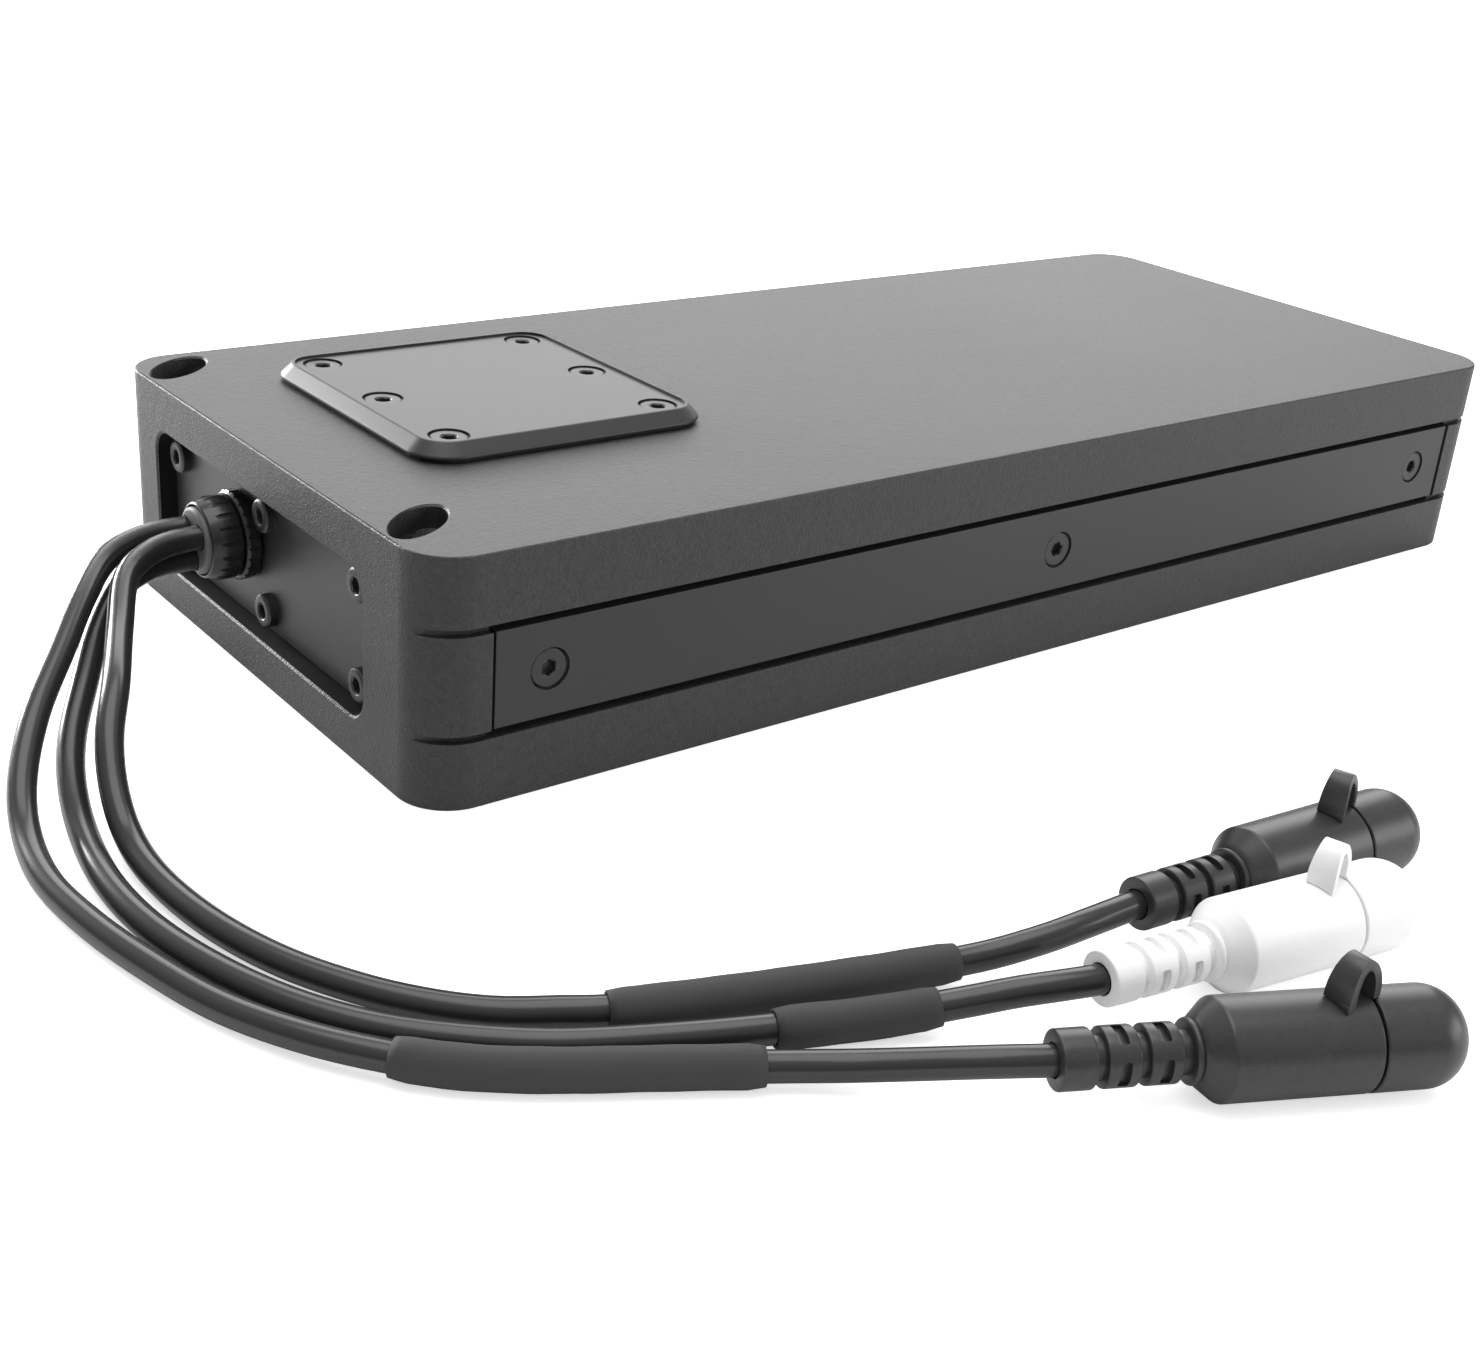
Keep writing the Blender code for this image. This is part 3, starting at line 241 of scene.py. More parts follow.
def blasted_grain_group():
    """Fine pits and peaks left by bead blasting, with a coarser mottle under them."""
    tree, given, made = new_group("blasted_grain", [("Scale", 2000.0)], ["Height", "Tone"])
    where = tree.nodes.new("ShaderNodeTexCoord").outputs["Object"]
    scale = given.outputs["Scale"]
    fine = noise(tree, where, scale, 2.0, 0.65)
    coarse = noise(tree, where, math_node(tree, "MULTIPLY", scale, 0.3), 1.0)
    height = math_node(tree, "ADD", math_node(tree, "MULTIPLY", fine, 0.7),
                       math_node(tree, "MULTIPLY", coarse, 0.3))
    tree.links.new(height, made.inputs["Height"])
    tree.links.new(ranged(tree, height, 0.3, 0.7), made.inputs["Tone"])
    return tree


def handling_marks_group():
    """Soft smudges and faint streaks where a piece has been handled."""
    tree, given, made = new_group("handling_marks", [("Scale", 30.0)], ["Smudge", "Streak"])
    where = tree.nodes.new("ShaderNodeTexCoord").outputs["Object"]
    scale = given.outputs["Scale"]
    smudge = noise(tree, where, scale, 1.5, 0.45, 0.3)
    stretched = add_node(tree, "ShaderNodeMapping", {"Vector": where, "Scale": (1.0, 14.0, 14.0)})
    streak = noise(tree, stretched.outputs["Vector"], scale, 3.0, 0.7)
    tree.links.new(ranged(tree, smudge, 0.2, 0.8), made.inputs["Smudge"])
    tree.links.new(ranged(tree, streak, 0.45, 0.75), made.inputs["Streak"])
    return tree


def edge_wear_and_highlight_group():
    """A broken mask along sharp edges, where a finish rubs thin."""
    tree, given, made = new_group("edge_wear_and_highlight", [("Width", 0.25 * MM), ("Scale", 900.0)], ["Worn"])
    where = tree.nodes.new("ShaderNodeTexCoord").outputs["Object"]
    rounded = add_node(tree, "ShaderNodeBevel", {"Radius": given.outputs["Width"]}, samples=3)
    true_normal = tree.nodes.new("ShaderNodeNewGeometry").outputs["Normal"]
    facing = add_node(tree, "ShaderNodeVectorMath", {0: rounded.outputs["Normal"], 1: true_normal},
                      operation="DOT_PRODUCT").outputs["Value"]
    edge = ranged(tree, facing, 0.98, 0.75)
    patch = ranged(tree, noise(tree, where, given.outputs["Scale"], 3.0, 0.6), 0.35, 0.65)
    tree.links.new(math_node(tree, "MULTIPLY", edge, patch), made.inputs["Worn"])
    return tree


def use_group(tree, name, **inputs):
    made = tree.nodes.new("ShaderNodeGroup")
    made.node_tree = bpy.data.node_groups[name]
    for label, value in inputs.items():
        made.inputs[label].default_value = value
    return made.outputs


def mixed(tree, share, first, second):
    """Mix two colours, given as numbers or as sockets."""
    made = tree.nodes.new("ShaderNodeMix")
    made.data_type = "RGBA"
    for name, value in (("Factor", share), ("A", first), ("B", second)):
        socket = next(s for s in made.inputs
                      if s.name == name and s.type == ("VALUE" if name == "Factor" else "RGBA"))
        if isinstance(value, bpy.types.NodeSocket):
            tree.links.new(value, socket)
        else:
            socket.default_value = value if name == "Factor" else (*value, 1.0)
    return next(s for s in made.outputs if s.type == "RGBA")


def shade(colour, factor):
    return tuple(min(1.0, channel * factor) for channel in colour)


def finish(name, colour, roughness, metallic=0.0, grain=2000.0, bump=0.1, bump_size=0.05, tone=0.25,
           marks=30.0, wear_and_highlight=0.0, wear_and_highlight_colour=(0.5, 0.5, 0.5), spread=0.04, **shader_values):
    """A finish with grain, colour variation, handling marks, worn edges and a fine bump."""
    material = bpy.data.materials.new(name)
    material.use_nodes = True
    tree = material.node_tree
    shader = tree.nodes["Principled BSDF"]
    grains = use_group(tree, "blasted_grain", Scale=grain)
    handled = use_group(tree, "handling_marks", Scale=marks)
    base = mixed(tree, grains["Tone"], shade(colour, 1 - tone), shade(colour, 1 + tone))
    base = mixed(tree, math_node(tree, "MULTIPLY", handled["Smudge"], 0.25), base,
                 shade(colour, 1 + tone))
    rough = ranged(tree, handled["Smudge"], 0.0, 1.0, roughness - spread / 2, roughness + spread / 2)
    rough = math_node(tree, "ADD", rough, math_node(tree, "MULTIPLY", handled["Streak"], spread / 8))
    # Edges lightened towards a grey: worn edges, and on the screws mostly a painted highlight
    if wear_and_highlight:
        wear_and_highlight_mask = use_group(tree, "edge_wear_and_highlight")["Worn"]
        amount = math_node(tree, "MULTIPLY", wear_and_highlight_mask, wear_and_highlight)
        base = mixed(tree, amount, base, wear_and_highlight_colour)
    tree.links.new(base, shader.inputs["Base Color"])
    tree.links.new(rough, shader.inputs["Roughness"])
    shader.inputs["Metallic"].default_value = metallic
    for label, value in shader_values.items():
        shader.inputs[label.replace("_", " ")].default_value = value
    relief = add_node(tree, "ShaderNodeBump", {"Strength": bump, "Distance": bump_size * MM,
                                               "Height": grains["Height"]})
    tree.links.new(relief.outputs["Normal"], shader.inputs["Normal"])
    return material


def make_finishes():
    """Every finish of the booster, by the record's slot or the piece it is for."""
    blasted_grain_group()
    handling_marks_group()
    edge_wear_and_highlight_group()
    tint = colours()
    grey = (0.10, 0.10, 0.10)
    finish("blasted_case", tint.case, 0.50, 0.0, 2600, 1.0, 0.20, 0.5, 9, 0.30, grey)
    finish("smooth_plate", tint.plates, 0.46, 0.0, 3200, 0.20, 0.04, 0.12, 12, 0.30, grey)
    # Near-black, dull and weakly reflective: painted shade for the side walls of the end plate's pocket
    finish("recess_painted_shade", (0.005, 0.005, 0.005), 0.75, 0.0, 1500, 0.3, 0.1, 0.3, 60,
           Specular_IOR_Level=0.2)
    finish("machined_alloy", (0.55, 0.55, 0.56), 0.35, 1.0, 2600, 0.15, 0.05, 0.1, 60)
    finish("gasket", (0.008, 0.008, 0.008), 0.75, 0.0, 1500, 0.3, 0.1, 0.3, 60)
    finish("seal", (0.10, 0.10, 0.098), 0.55, 0.0, 1800, 0.25, 0.08, 0.12, 90)
    # Strong edge lightening here paints highlight rings on the screws' chamfers, besides a little wear
    finish("black_oxide", (0.018, 0.018, 0.018), 0.44, 0.0, 2500, 0.20, 0.04, 0.25, 160, 0.9,
           (0.26, 0.26, 0.26))
    finish("gland_moulding", (0.012, 0.012, 0.012), 0.26, 0.0, 1600, 0.12, 0.05, 0.25, 90)
    finish("dark_moulding", tint.moulding, 0.36, 0.0, 1500, 0.22, 0.07, 0.22, 70, 0.20,
           (0.07, 0.07, 0.07))
    finish("pale_moulding", tint.pale_moulding, 0.42, 0.0, 1500, 0.16, 0.06, 0.02, 70)
    finish("lead_jacket", tint.jacket, 0.11, 0.0, 420, 0.06, 0.10, 0.2, 80)
    finish("shrink_tube", (0.018, 0.018, 0.018), 0.36, 0.0, 900, 0.15, 0.06, 0.2, 60)
    finish("nylon", (0.055, 0.055, 0.058), 0.48, 0.0, 1500, 0.15, 0.06, 0.15, 90)
    finish("board_mask", (0.012, 0.10, 0.045), 0.30, 0.0, 700, 0.2, 0.06, 0.35, 200)
    finish("tinned_steel", (0.60, 0.60, 0.58), 0.28, 1.0, 1800, 0.12, 0.05, 0.08, 90)


def material(name):
    return bpy.data.materials[name]


# ---------------------------------------------------------------- shapes


def bevel_edges(bm, edges, width, steps):
    bmesh.ops.bevel(bm, geom=edges, offset=width, offset_type="OFFSET", segments=steps, profile=0.5,
                    affect="EDGES", clamp_overlap=True, material=-1)


def block(size, centre=(0, 0, 0), corner=0.0, steps=14, axis=2):
    """A box with the four edges along one axis rounded."""
    bm = bmesh.new()
    bmesh.ops.create_cube(bm, size=1.0)
    bmesh.ops.scale(bm, vec=Vector(size), verts=bm.verts)
    if corner:
        edges = [e for e in bm.edges
                 if abs(abs((e.verts[0].co - e.verts[1].co)[axis]) - size[axis]) < SAME]
        bevel_edges(bm, edges, corner, steps)
    bmesh.ops.translate(bm, vec=Vector(centre), verts=bm.verts)
    return bm


def round_rim(bm, axis, side, width, steps=3):
    """Round the edges round the outermost face on one side of a shape."""
    level = max(side * v.co[axis] for v in bm.verts) * side
    rim = [e for e in bm.edges if all(abs(v.co[axis] - level) < SAME for v in e.verts)]
    bevel_edges(bm, rim, width, steps)


def spun(profile, steps=48, closed=False):
    """A turned shape about Z from (radius, height) points, with its seam and poles closed."""
    bm = bmesh.new()
    verts = [bm.verts.new((radius, 0, height)) for radius, height in profile]
    pairs = list(zip(verts, verts[1:]))
    if closed:
        pairs.append((verts[-1], verts[0]))
    edges = [bm.edges.new(pair) for pair in pairs]
    bmesh.ops.spin(bm, geom=verts + edges, cent=(0, 0, 0), axis=(0, 0, 1), dvec=(0, 0, 0),
                   angle=2 * math.pi, steps=steps, use_merge=True, use_duplicate=False)
    bmesh.ops.remove_doubles(bm, verts=bm.verts, dist=SAME)
    bmesh.ops.recalc_face_normals(bm, faces=bm.faces)
    return bm


def pins(places, radius, low, high, steps=32):
    """Round pins along Z at each (x, y), as one set of cutters."""
    bm = bmesh.new()
    for x, y in places:
        bmesh.ops.create_cone(bm, cap_ends=True, segments=steps, radius1=radius, radius2=radius,
                              depth=high - low, matrix=Matrix.Translation((x, y, (low + high) / 2)))
    return bm


def moved(bm, matrix):
    bmesh.ops.transform(bm, matrix=matrix, verts=bm.verts)
    return bm


def mesh_of(name, bm):
    mesh = bpy.data.meshes.new(name)
    bm.to_mesh(mesh)
    bm.free()
    return mesh


def gathered(shapes):
    """Several shapes as one, each still closed by itself."""
    whole = bmesh.new()
    for shape in shapes:
        mesh = mesh_of("gathered", shape)
        whole.from_mesh(mesh)
        bpy.data.meshes.remove(mesh)
    return whole


def carve(bm, *cutters):
    """Cut closed shapes out of another with exact Booleans."""
    made = []
    for shape in (bm, *cutters):
        item = bpy.data.objects.new("carving", mesh_of("carving", shape))
        bpy.context.scene.collection.objects.link(item)
        made.append(item)
    for tool in made[1:]:
        cut = made[0].modifiers.new("cut", "BOOLEAN")
        cut.operation = "DIFFERENCE"
        cut.solver = "EXACT"
        cut.object = tool
    bpy.context.view_layer.update()
    solved = made[0].evaluated_get(bpy.context.evaluated_depsgraph_get())
    result = bmesh.new()
    result.from_mesh(solved.to_mesh())
    solved.to_mesh_clear()
    bmesh.ops.remove_doubles(result, verts=result.verts, dist=WELD)
    bmesh.ops.dissolve_degenerate(result, edges=result.edges, dist=WELD)
    for item in made:
        mesh = item.data
        bpy.data.objects.remove(item, do_unlink=True)
        bpy.data.meshes.remove(mesh)
    return result


def add_piece(name, bm, finish_name, body, nodes, sharp=32.0, flat_faces=True):
    """Put a finished shape in the scene as a piece that rides on a body and stands for CAD nodes."""
    mesh = mesh_of(name, bm)
    for face in mesh.polygons:
        face.use_smooth = True
    mesh.set_sharp_from_angle(angle=math.radians(sharp))
    mesh.materials.append(material(finish_name))
    piece = bpy.data.objects.new(name, mesh)
    bpy.context.scene.collection.objects.link(piece)
    if flat_faces:
        modifier = piece.modifiers.new("flat_faces", "WEIGHTED_NORMAL")
        modifier.keep_sharp = True
    if body:
        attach(piece, body)
    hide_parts(*nodes)
    return piece


def arc(middle_radius, middle_height, radius, start, end, steps):
    """Profile points along part of a circle, with angles in degrees from the outward direction."""
    points = []
    for number in range(steps + 1):
        angle = math.radians(start + (end - start) * number / steps)
        points.append((middle_radius + radius * math.cos(angle), middle_height + radius * math.sin(angle)))
    return points


# ---------------------------------------------------------------- case


def screw_places(group):
    """Where each screw of a group sits: its turn, and the middle of its head's face."""
    count, turn, axis, side = SCREW_GROUPS[group]
    places = []
    for number in range(count):
        low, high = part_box(group % (number + 1))
        point = (low + high) / 2
        point[axis] = high[axis] if side > 0 else low[axis]
        places.append(Matrix.Translation(point) @ turn)
    return places


def seat_cutter(group):
    """Countersunk seats and clearance holes for a group of screws."""
    head = HEAD_RADIUS + GAP
    hole = SCREW_CLEARANCE
    sunk = HEAD_SINK + (FACE_SINK if group == COVER_SEATS else 0)
    profile = [(0, 3 * MM), (head, 3 * MM), (head, -sunk - 0.25 * MM), (hole, -sunk - 1.85 * MM),
               (hole, -7.5 * MM), (0, -7.5 * MM)]
    return gathered([moved(spun(profile, 40), place) for place in screw_places(group)])


def hole_cutter(group, depth):
    profile = [(0, 0.5 * MM), (SCREW_CLEARANCE, 0.5 * MM), (SCREW_CLEARANCE, -depth), (0, -depth)]
    return gathered([moved(spun(profile, 24), place) for place in screw_places(group)])


def grown(node, amount):
    """A node's box, wider by an amount on every side, as (size, centre)."""
    low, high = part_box(node)
    return [side + 2 * amount for side in high - low], (low + high) / 2


def mount_cutters(low, high):
    """Oval head recesses and the bores below them, near the connector end."""
    recess = 3.9 * MM
    oval_size = (14 * MM, 6.8 * MM, 1, 1)
    oval_turn = Matrix.Rotation(math.radians(40), 4, "Z")
    bore_radius = 2.75 * MM
    shapes = []
    for y in (low.y + 14.6 * MM, high.y - 7.9 * MM):
        place = Matrix.Translation((low.x + 6.9 * MM, y, high.z)) @ oval_turn
        oval = [(0, 1 * MM), (0.525, 1 * MM), (0.525, 0), (0.5, -0.3 * MM), (0.5, -recess + 0.4 * MM),
                (0.47, -recess), (0, -recess)]
        shapes.append(moved(spun(oval, 48), place @ Matrix.Diagonal(oval_size)))
        depth = high.z - low.z + 2 * MM
        bore = spun([(0, 1 * MM), (bore_radius, 1 * MM), (bore_radius, -depth), (0, -depth)], 32)
        shapes.append(moved(bore, place @ Matrix.Translation((-2 * MM, 0, 0))))
    return shapes


def groove_cutter(size, height):
    """A band cut round the case's sides that runs out to nothing at the upright corners."""
    length, width = size[0], size[1]
    corner = sizes().corner
    depth = sizes().groove_depth
    run_out = 5 * MM
    reach = math.sqrt(corner ** 2 - (corner - run_out) ** 2)
    radius = (reach ** 2 + (run_out - depth) ** 2) / (2 * (run_out - depth))
    grow = radius - corner
    band = block((length + 10 * MM, width + 10 * MM, sizes().groove), (0, 0, height), corner)
    core = block((length + 2 * grow, width - 2 * depth, 3 * sizes().groove), (0, 0, height), radius, 20)
    return carve(band, core)


def build_case():
    low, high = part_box("housing")
    size = high - low
    case = block(size, (low + high) / 2, sizes().corner, 18)
    round_rim(case, 2, 1, sizes().rim)
    round_rim(case, 2, -1, sizes().rim)

    cutters = mount_cutters(low, high)
    strip_low, strip_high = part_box("side_strip_front")
    groove = sizes().groove
    for height in (strip_low.z - groove / 2, strip_high.z + groove / 2):
        cutters.append(groove_cutter(size, height))
    for node, side in (("side_strip_front", -1), ("side_strip_back", 1)):
        strip_size, strip_middle = grown(node, GAP)
        reach = 4 * MM
        channel = (strip_size[0] + 0.4 * MM, strip_size[1] + reach, strip_size[2] - 2 * GAP + 2 * groove)
        cutters.append(block(channel, strip_middle + Vector((0, side * reach / 2, 0))))
    plate_size, plate_middle = grown("end_plate", GAP)
    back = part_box("end_gasket")[1].x + GAP
    front = low.x - 3 * MM
    cutters.append(block((back - front, plate_size[1], plate_size[2]),
                         ((back + front) / 2, plate_middle.y, plate_middle.z), 4 * MM, 8, 0))
    flare = block((3 * MM, plate_size[1] + 0.8 * MM, plate_size[2] + 0.8 * MM),
                  (low.x - 1.2 * MM, plate_middle.y, plate_middle.z), 4.4 * MM, 8, 0)
    round_rim(flare, 0, 1, 0.3 * MM, 1)
    cutters.append(flare)
    cover_size, cover_middle = grown("bottom_cover", GAP)
    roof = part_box("bottom_gasket")[1].z + GAP
    cutters.append(block((cover_size[0], cover_size[1], roof + 4 * MM),
                         (cover_middle.x, cover_middle.y, roof / 2 - 2 * MM), 5 * MM, 8))
    ceiling = high.z - 5 * MM
    chamber = size.x - 32 * MM
    cutters.append(block((chamber, size.y - 26 * MM, ceiling + 4 * MM),
                         (low.x + 19 * MM + chamber / 2, 0, ceiling / 2 - 2 * MM), 4 * MM, 8))
    window_low, window_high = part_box("access_gasket")
    middle = (window_low + window_high) / 2
    cutters.append(block((30 * MM, 31 * MM, 10 * MM), (middle.x, middle.y, high.z - 2 * MM), 3 * MM, 6))
    _, gland_y, gland_z = (value * MM for value in GLAND_PLACE)
    way = pins([(0, 0)], 7.5 * MM, -26 * MM, 1 * MM, 40)
    cutters.append(moved(way, Matrix.Translation((back, gland_y, gland_z)) @ TO_END))
    for group, depth in (("access_screw_%d", 6.8 * MM), ("bottom_screw_%d", 12 * MM),
                         ("strip_screw_front_%d", 9 * MM), ("strip_screw_back_%d", 9 * MM),
                         ("end_screw_%d", 12 * MM)):
        cutters.append(hole_cutter(group, depth))
    case = carve(case, *cutters)
    piece = add_piece("fine_housing", case, "blasted_case", ROOT, ["housing"])
    # The side walls of the end plate's pocket take a second, near-black material: painted shade in the
    # pocket
    piece.data.materials.append(material("recess_painted_shade"))
    for face in piece.data.polygons:
        outside = face.center.x < low.x + 0.2 * MM or face.center.x > back + 0.1 * MM
        if not outside and abs(face.normal.x) < 0.3 and abs(face.center.y) < 40 * MM:
            face.material_index = 1


def build_access_cover():
    size, middle = grown("access_cover", 0)
    cover = block(size, middle, 6.5 * MM, 12)
    level = max(v.co.z for v in cover.verts)
    round_rim(cover, 2, 1, sizes().cover_bevel, 1)
    rims = [e for e in cover.edges
            if abs(e.verts[0].co.z - e.verts[1].co.z) < SAME and e.calc_face_angle(0) > 0.4
            and e.verts[0].co.z > level - sizes().cover_bevel - 0.05 * MM]
    bevel_edges(cover, rims, 0.22 * MM, 3)
    rim = sizes().cover_bevel + 0.35 * MM
    face = block((size[0] - 2 * rim, size[1] - 2 * rim, 2 * FACE_SINK),
                 (middle.x, middle.y, level), 4.2 * MM, 10)
    cover = carve(cover, face, seat_cutter(COVER_SEATS))
    add_piece("fine_access_cover", cover, "smooth_plate", ROOT, ["access_cover"])


def build_bottom_cover():
    size, middle = grown("bottom_cover", 0)
    cover = block(size, middle, 4.7 * MM, 8)
    round_rim(cover, 2, -1, 0.2 * MM, 2)
    cover = carve(cover, seat_cutter("bottom_screw_%d"))
    add_piece("fine_bottom_cover", cover, "smooth_plate", ROOT, ["bottom_cover"])


def build_end_plate():
    size, middle = grown("end_plate", 0)
    plate = block(size, middle, 3.7 * MM, 8, 0)
    round_rim(plate, 0, -1, 0.2 * MM, 2)
    bore = moved(pins([(0, 0)], 6.1 * MM, -8 * MM, 3 * MM, 40), gland_frame())
    plate = carve(plate, bore, hole_cutter("end_screw_%d", 8 * MM))
    add_piece("fine_end_plate", plate, "smooth_plate", ROOT, ["end_plate"])


def build_side_strips():
    for node, side, group in (("side_strip_front", -1, "strip_screw_front_%d"),
                              ("side_strip_back", 1, "strip_screw_back_%d")):
        size, middle = grown(node, 0)
        strip = block(size, middle)
        round_rim(strip, 1, side, 0.2 * MM, 2)
        strip = carve(strip, seat_cutter(group))
        add_piece("fine_" + node, strip, "smooth_plate", ROOT, [node])


def socketed(profile, top):
    """A turned screw with a hex socket whose mouth is chamfered."""
    across = sizes().hex_socket / 2 / math.cos(math.pi / 6)
    depth = 1.2 * MM
    hexagon = bmesh.new()
    bmesh.ops.create_cone(hexagon, cap_ends=True, segments=6, radius1=across, radius2=across,
                          depth=depth + 1 * MM,
                          matrix=Matrix.Translation((0, 0, top + 0.5 * MM - depth / 2)))
    mouth = spun([(0, top + 1 * MM), (across + 1.1 * MM, top + 1 * MM), (across - 0.1 * MM, top - 0.2 * MM),
                  (0, top - 0.2 * MM)], 40)
    return carve(spun(profile, 48), hexagon, mouth)


def build_screws():
    """Countersunk hex screws in the covers and strips, and socket screws in the end plate."""
    head = HEAD_RADIUS
    shank = 1.45 * MM
    for group in SCREW_GROUPS:
        places = screw_places(group)
        low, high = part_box(group % 1)
        length = max(high - low)
        for number, place in enumerate(places):
            if group == "end_screw_%d":
                top = 0
                cap = 2.6 * MM
                rise = 1.6 * MM
                profile = [(0, 0), (cap - 0.45 * MM, 0), (cap - 0.2 * MM, -0.08 * MM), (cap, -0.3 * MM),
                           (cap, -rise), (shank, -rise), (shank, -length), (0, -length)]
            else:
                top = -HEAD_SINK
                if group == COVER_SEATS:
                    top -= FACE_SINK
                profile = [(0, top), (head - 0.2 * MM, top), (head, top - 0.14 * MM),
                           (head, top - 0.25 * MM), (shank, top - 1.7 * MM), (shank, -length + 0.4 * MM),
                           (shank - 0.4 * MM, -length), (0, -length)]
            node = group % (number + 1)
            screw = moved(socketed(profile, top), place @ Matrix.Rotation(0.7 * number, 4, "Z"))
            add_piece("fine_" + node, screw, "black_oxide", ROOT, [node])


# ---------------------------------------------------------------- gland, leads and connectors


def ring(radius, count):
    """Evenly spaced (x, y) places round a circle."""
    return [(radius * math.cos(a), radius * math.sin(a))
            for a in (2 * math.pi * k / count for k in range(count))]


def gland_frame():
    """The gland's own frame, with +Z out of the end plate."""
    return Matrix.Translation([value * MM for value in GLAND_PLACE]) @ TO_END


def build_gland():
    """A ribbed dome nut on a knurled body, with a pale insert that the leads pass through."""
    place = gland_frame()
    seat = 5.5 * MM
    nut_low = 3 * MM
    nut_top = nut_low + 4.8 * MM
    nut = spun([(seat, nut_top)] + arc(seat, nut_top - 0.4 * MM, 0.4 * MM, 90, 20, 4)
               + [(6.15 * MM, nut_top - 1.2 * MM), (6.5 * MM, nut_top - 2.2 * MM),
                  (6.5 * MM, nut_low + 0.3 * MM), (6.2 * MM, nut_low), (seat, nut_low)], 72, True)
    nut = carve(nut, pins(ring(6.72 * MM, 18), 0.5 * MM, nut_low - 1 * MM, nut_top - 0.9 * MM, 16))
    add_piece("fine_gland_nut", moved(nut, place), "gland_moulding", ROOT,
              ["gland_nut"])

    collar = 7 * MM
    shank = 5.8 * MM
    body = spun([(seat, 2.7 * MM), (collar - 0.4 * MM, 2.7 * MM), (collar, 2.3 * MM),
                 (collar, 0.7 * MM), (collar - 0.3 * MM, GAP), (shank, GAP), (shank, -6.8 * MM),
                 (4.9 * MM, -6.8 * MM), (4.9 * MM, 0.9 * MM), (seat, 0.9 * MM)], 72, True)
    body = carve(body, pins(ring(7.1 * MM, 24), 0.32 * MM, -1 * MM, 4 * MM, 12))
    add_piece("fine_gland_body", moved(body, place), "gland_moulding", ROOT,
              ["gland_body"])

    top = nut_top + 0.7 * MM
    seal = 5.2 * MM
    insert = spun([(0, top)] + arc(seal - 0.7 * MM, top - 0.7 * MM, 0.7 * MM, 90, 0, 6)
                  + [(seal, 1.2 * MM), (0, 1.2 * MM)], 48)
    ways = [lead_offset(lead) for lead in LEADS.values()]
    holes = pins([(z_off * MM, y_off * MM) for y_off, z_off in ways], 2.0 * MM, -2 * MM, 12 * MM, 32)
    insert = carve(insert, holes)
    add_piece("fine_gland_seal", moved(insert, place), "seal", ROOT, ["gland_seal"])


def lead_offset(lead):
    """Where a lead lies from the gland's axis, as (y, z) in millimetres."""
    return 2.7 * math.cos(lead["around"]), 2.7 * math.sin(lead["around"])


def lead_route(lead):
    """A lead's route points in metres, from inside the case into its connector."""
    y, z = lead_offset(lead)
    y += GLAND_PLACE[1]
    z += GLAND_PLACE[2]
    x, side, heading = lead["connector"]
    turn = math.radians(heading)
    start = Vector((x, side, CONNECTOR_AXIS_HEIGHT))
    ahead = Vector((math.cos(turn), math.sin(turn), 0))
    inside = [Vector((place, y, z))
              for place in (LEAD_START, LEAD_INSIDE, SEAL_FRONT, SEAL_FRONT - LEAD_STRAIGHT)]
    route = inside + [Vector(point) for point in lead["route"]] + [start, start + ahead * LEAD_TAIL]
    return [point * MM for point in route]


def smooth_points(route, step):
    """Equally spaced points on a Catmull-Rom curve through the route."""
    ends = [route[0] * 2 - route[1]] + route + [route[-1] * 2 - route[-2]]
    fine = []
    for a, b, c, d in zip(ends, ends[1:], ends[2:], ends[3:]):
        for part in range(12):
            t = part / 12
            fine.append((b * 2 + (c - a) * t + (a * 2 - b * 5 + c * 4 - d) * t * t
                         + (b * 3 - a - c * 3 + d) * t ** 3) / 2)
    fine.append(route[-1])
    reach = [0.0]
    for first, second in zip(fine, fine[1:]):
        reach.append(reach[-1] + (second - first).length)
    count = round(reach[-1] / step)
    points = []
    index = 0
    for number in range(count + 1):
        target = reach[-1] * number / count
        while index < len(fine) - 2 and reach[index + 1] < target:
            index += 1
        share = (target - reach[index]) / (reach[index + 1] - reach[index])
        points.append(fine[index].lerp(fine[index + 1], min(share, 1.0)))
    return points, reach[-1]


def tube(name, points, radius, widths=None, caps=True, around=6):
    """A round tube along points, with its width changing along it if widths are given."""
    curve = bpy.data.curves.new(name, "CURVE")
    curve.dimensions = "3D"
    curve.bevel_depth = radius
    curve.bevel_resolution = around
    curve.use_fill_caps = caps
    spline = curve.splines.new("POLY")
    spline.points.add(len(points) - 1)
    for index, (point, place) in enumerate(zip(spline.points, points)):
        point.co = (*place, 1.0)
        point.radius = widths[index] if widths else 1.0
    piece = bpy.data.objects.new(name, curve)
    bpy.context.scene.collection.objects.link(piece)
    return piece


def build_leads():
    """The three leads, each along its real length."""
    for name, lead in LEADS.items():
        points, _ = smooth_points(lead_route(lead), LEAD_STEP)
        piece = tube("fine_lead_" + name, points, sizes().lead / 2)
        piece.data.materials.append(material("lead_jacket"))
        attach(piece, ROOT)
        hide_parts("lead_" + name)


def declare_cords():
    """Say what each lead is, and which pieces are on it."""
    for name, lead in LEADS.items():
        _, length = smooth_points(lead_route(lead), LEAD_STEP)


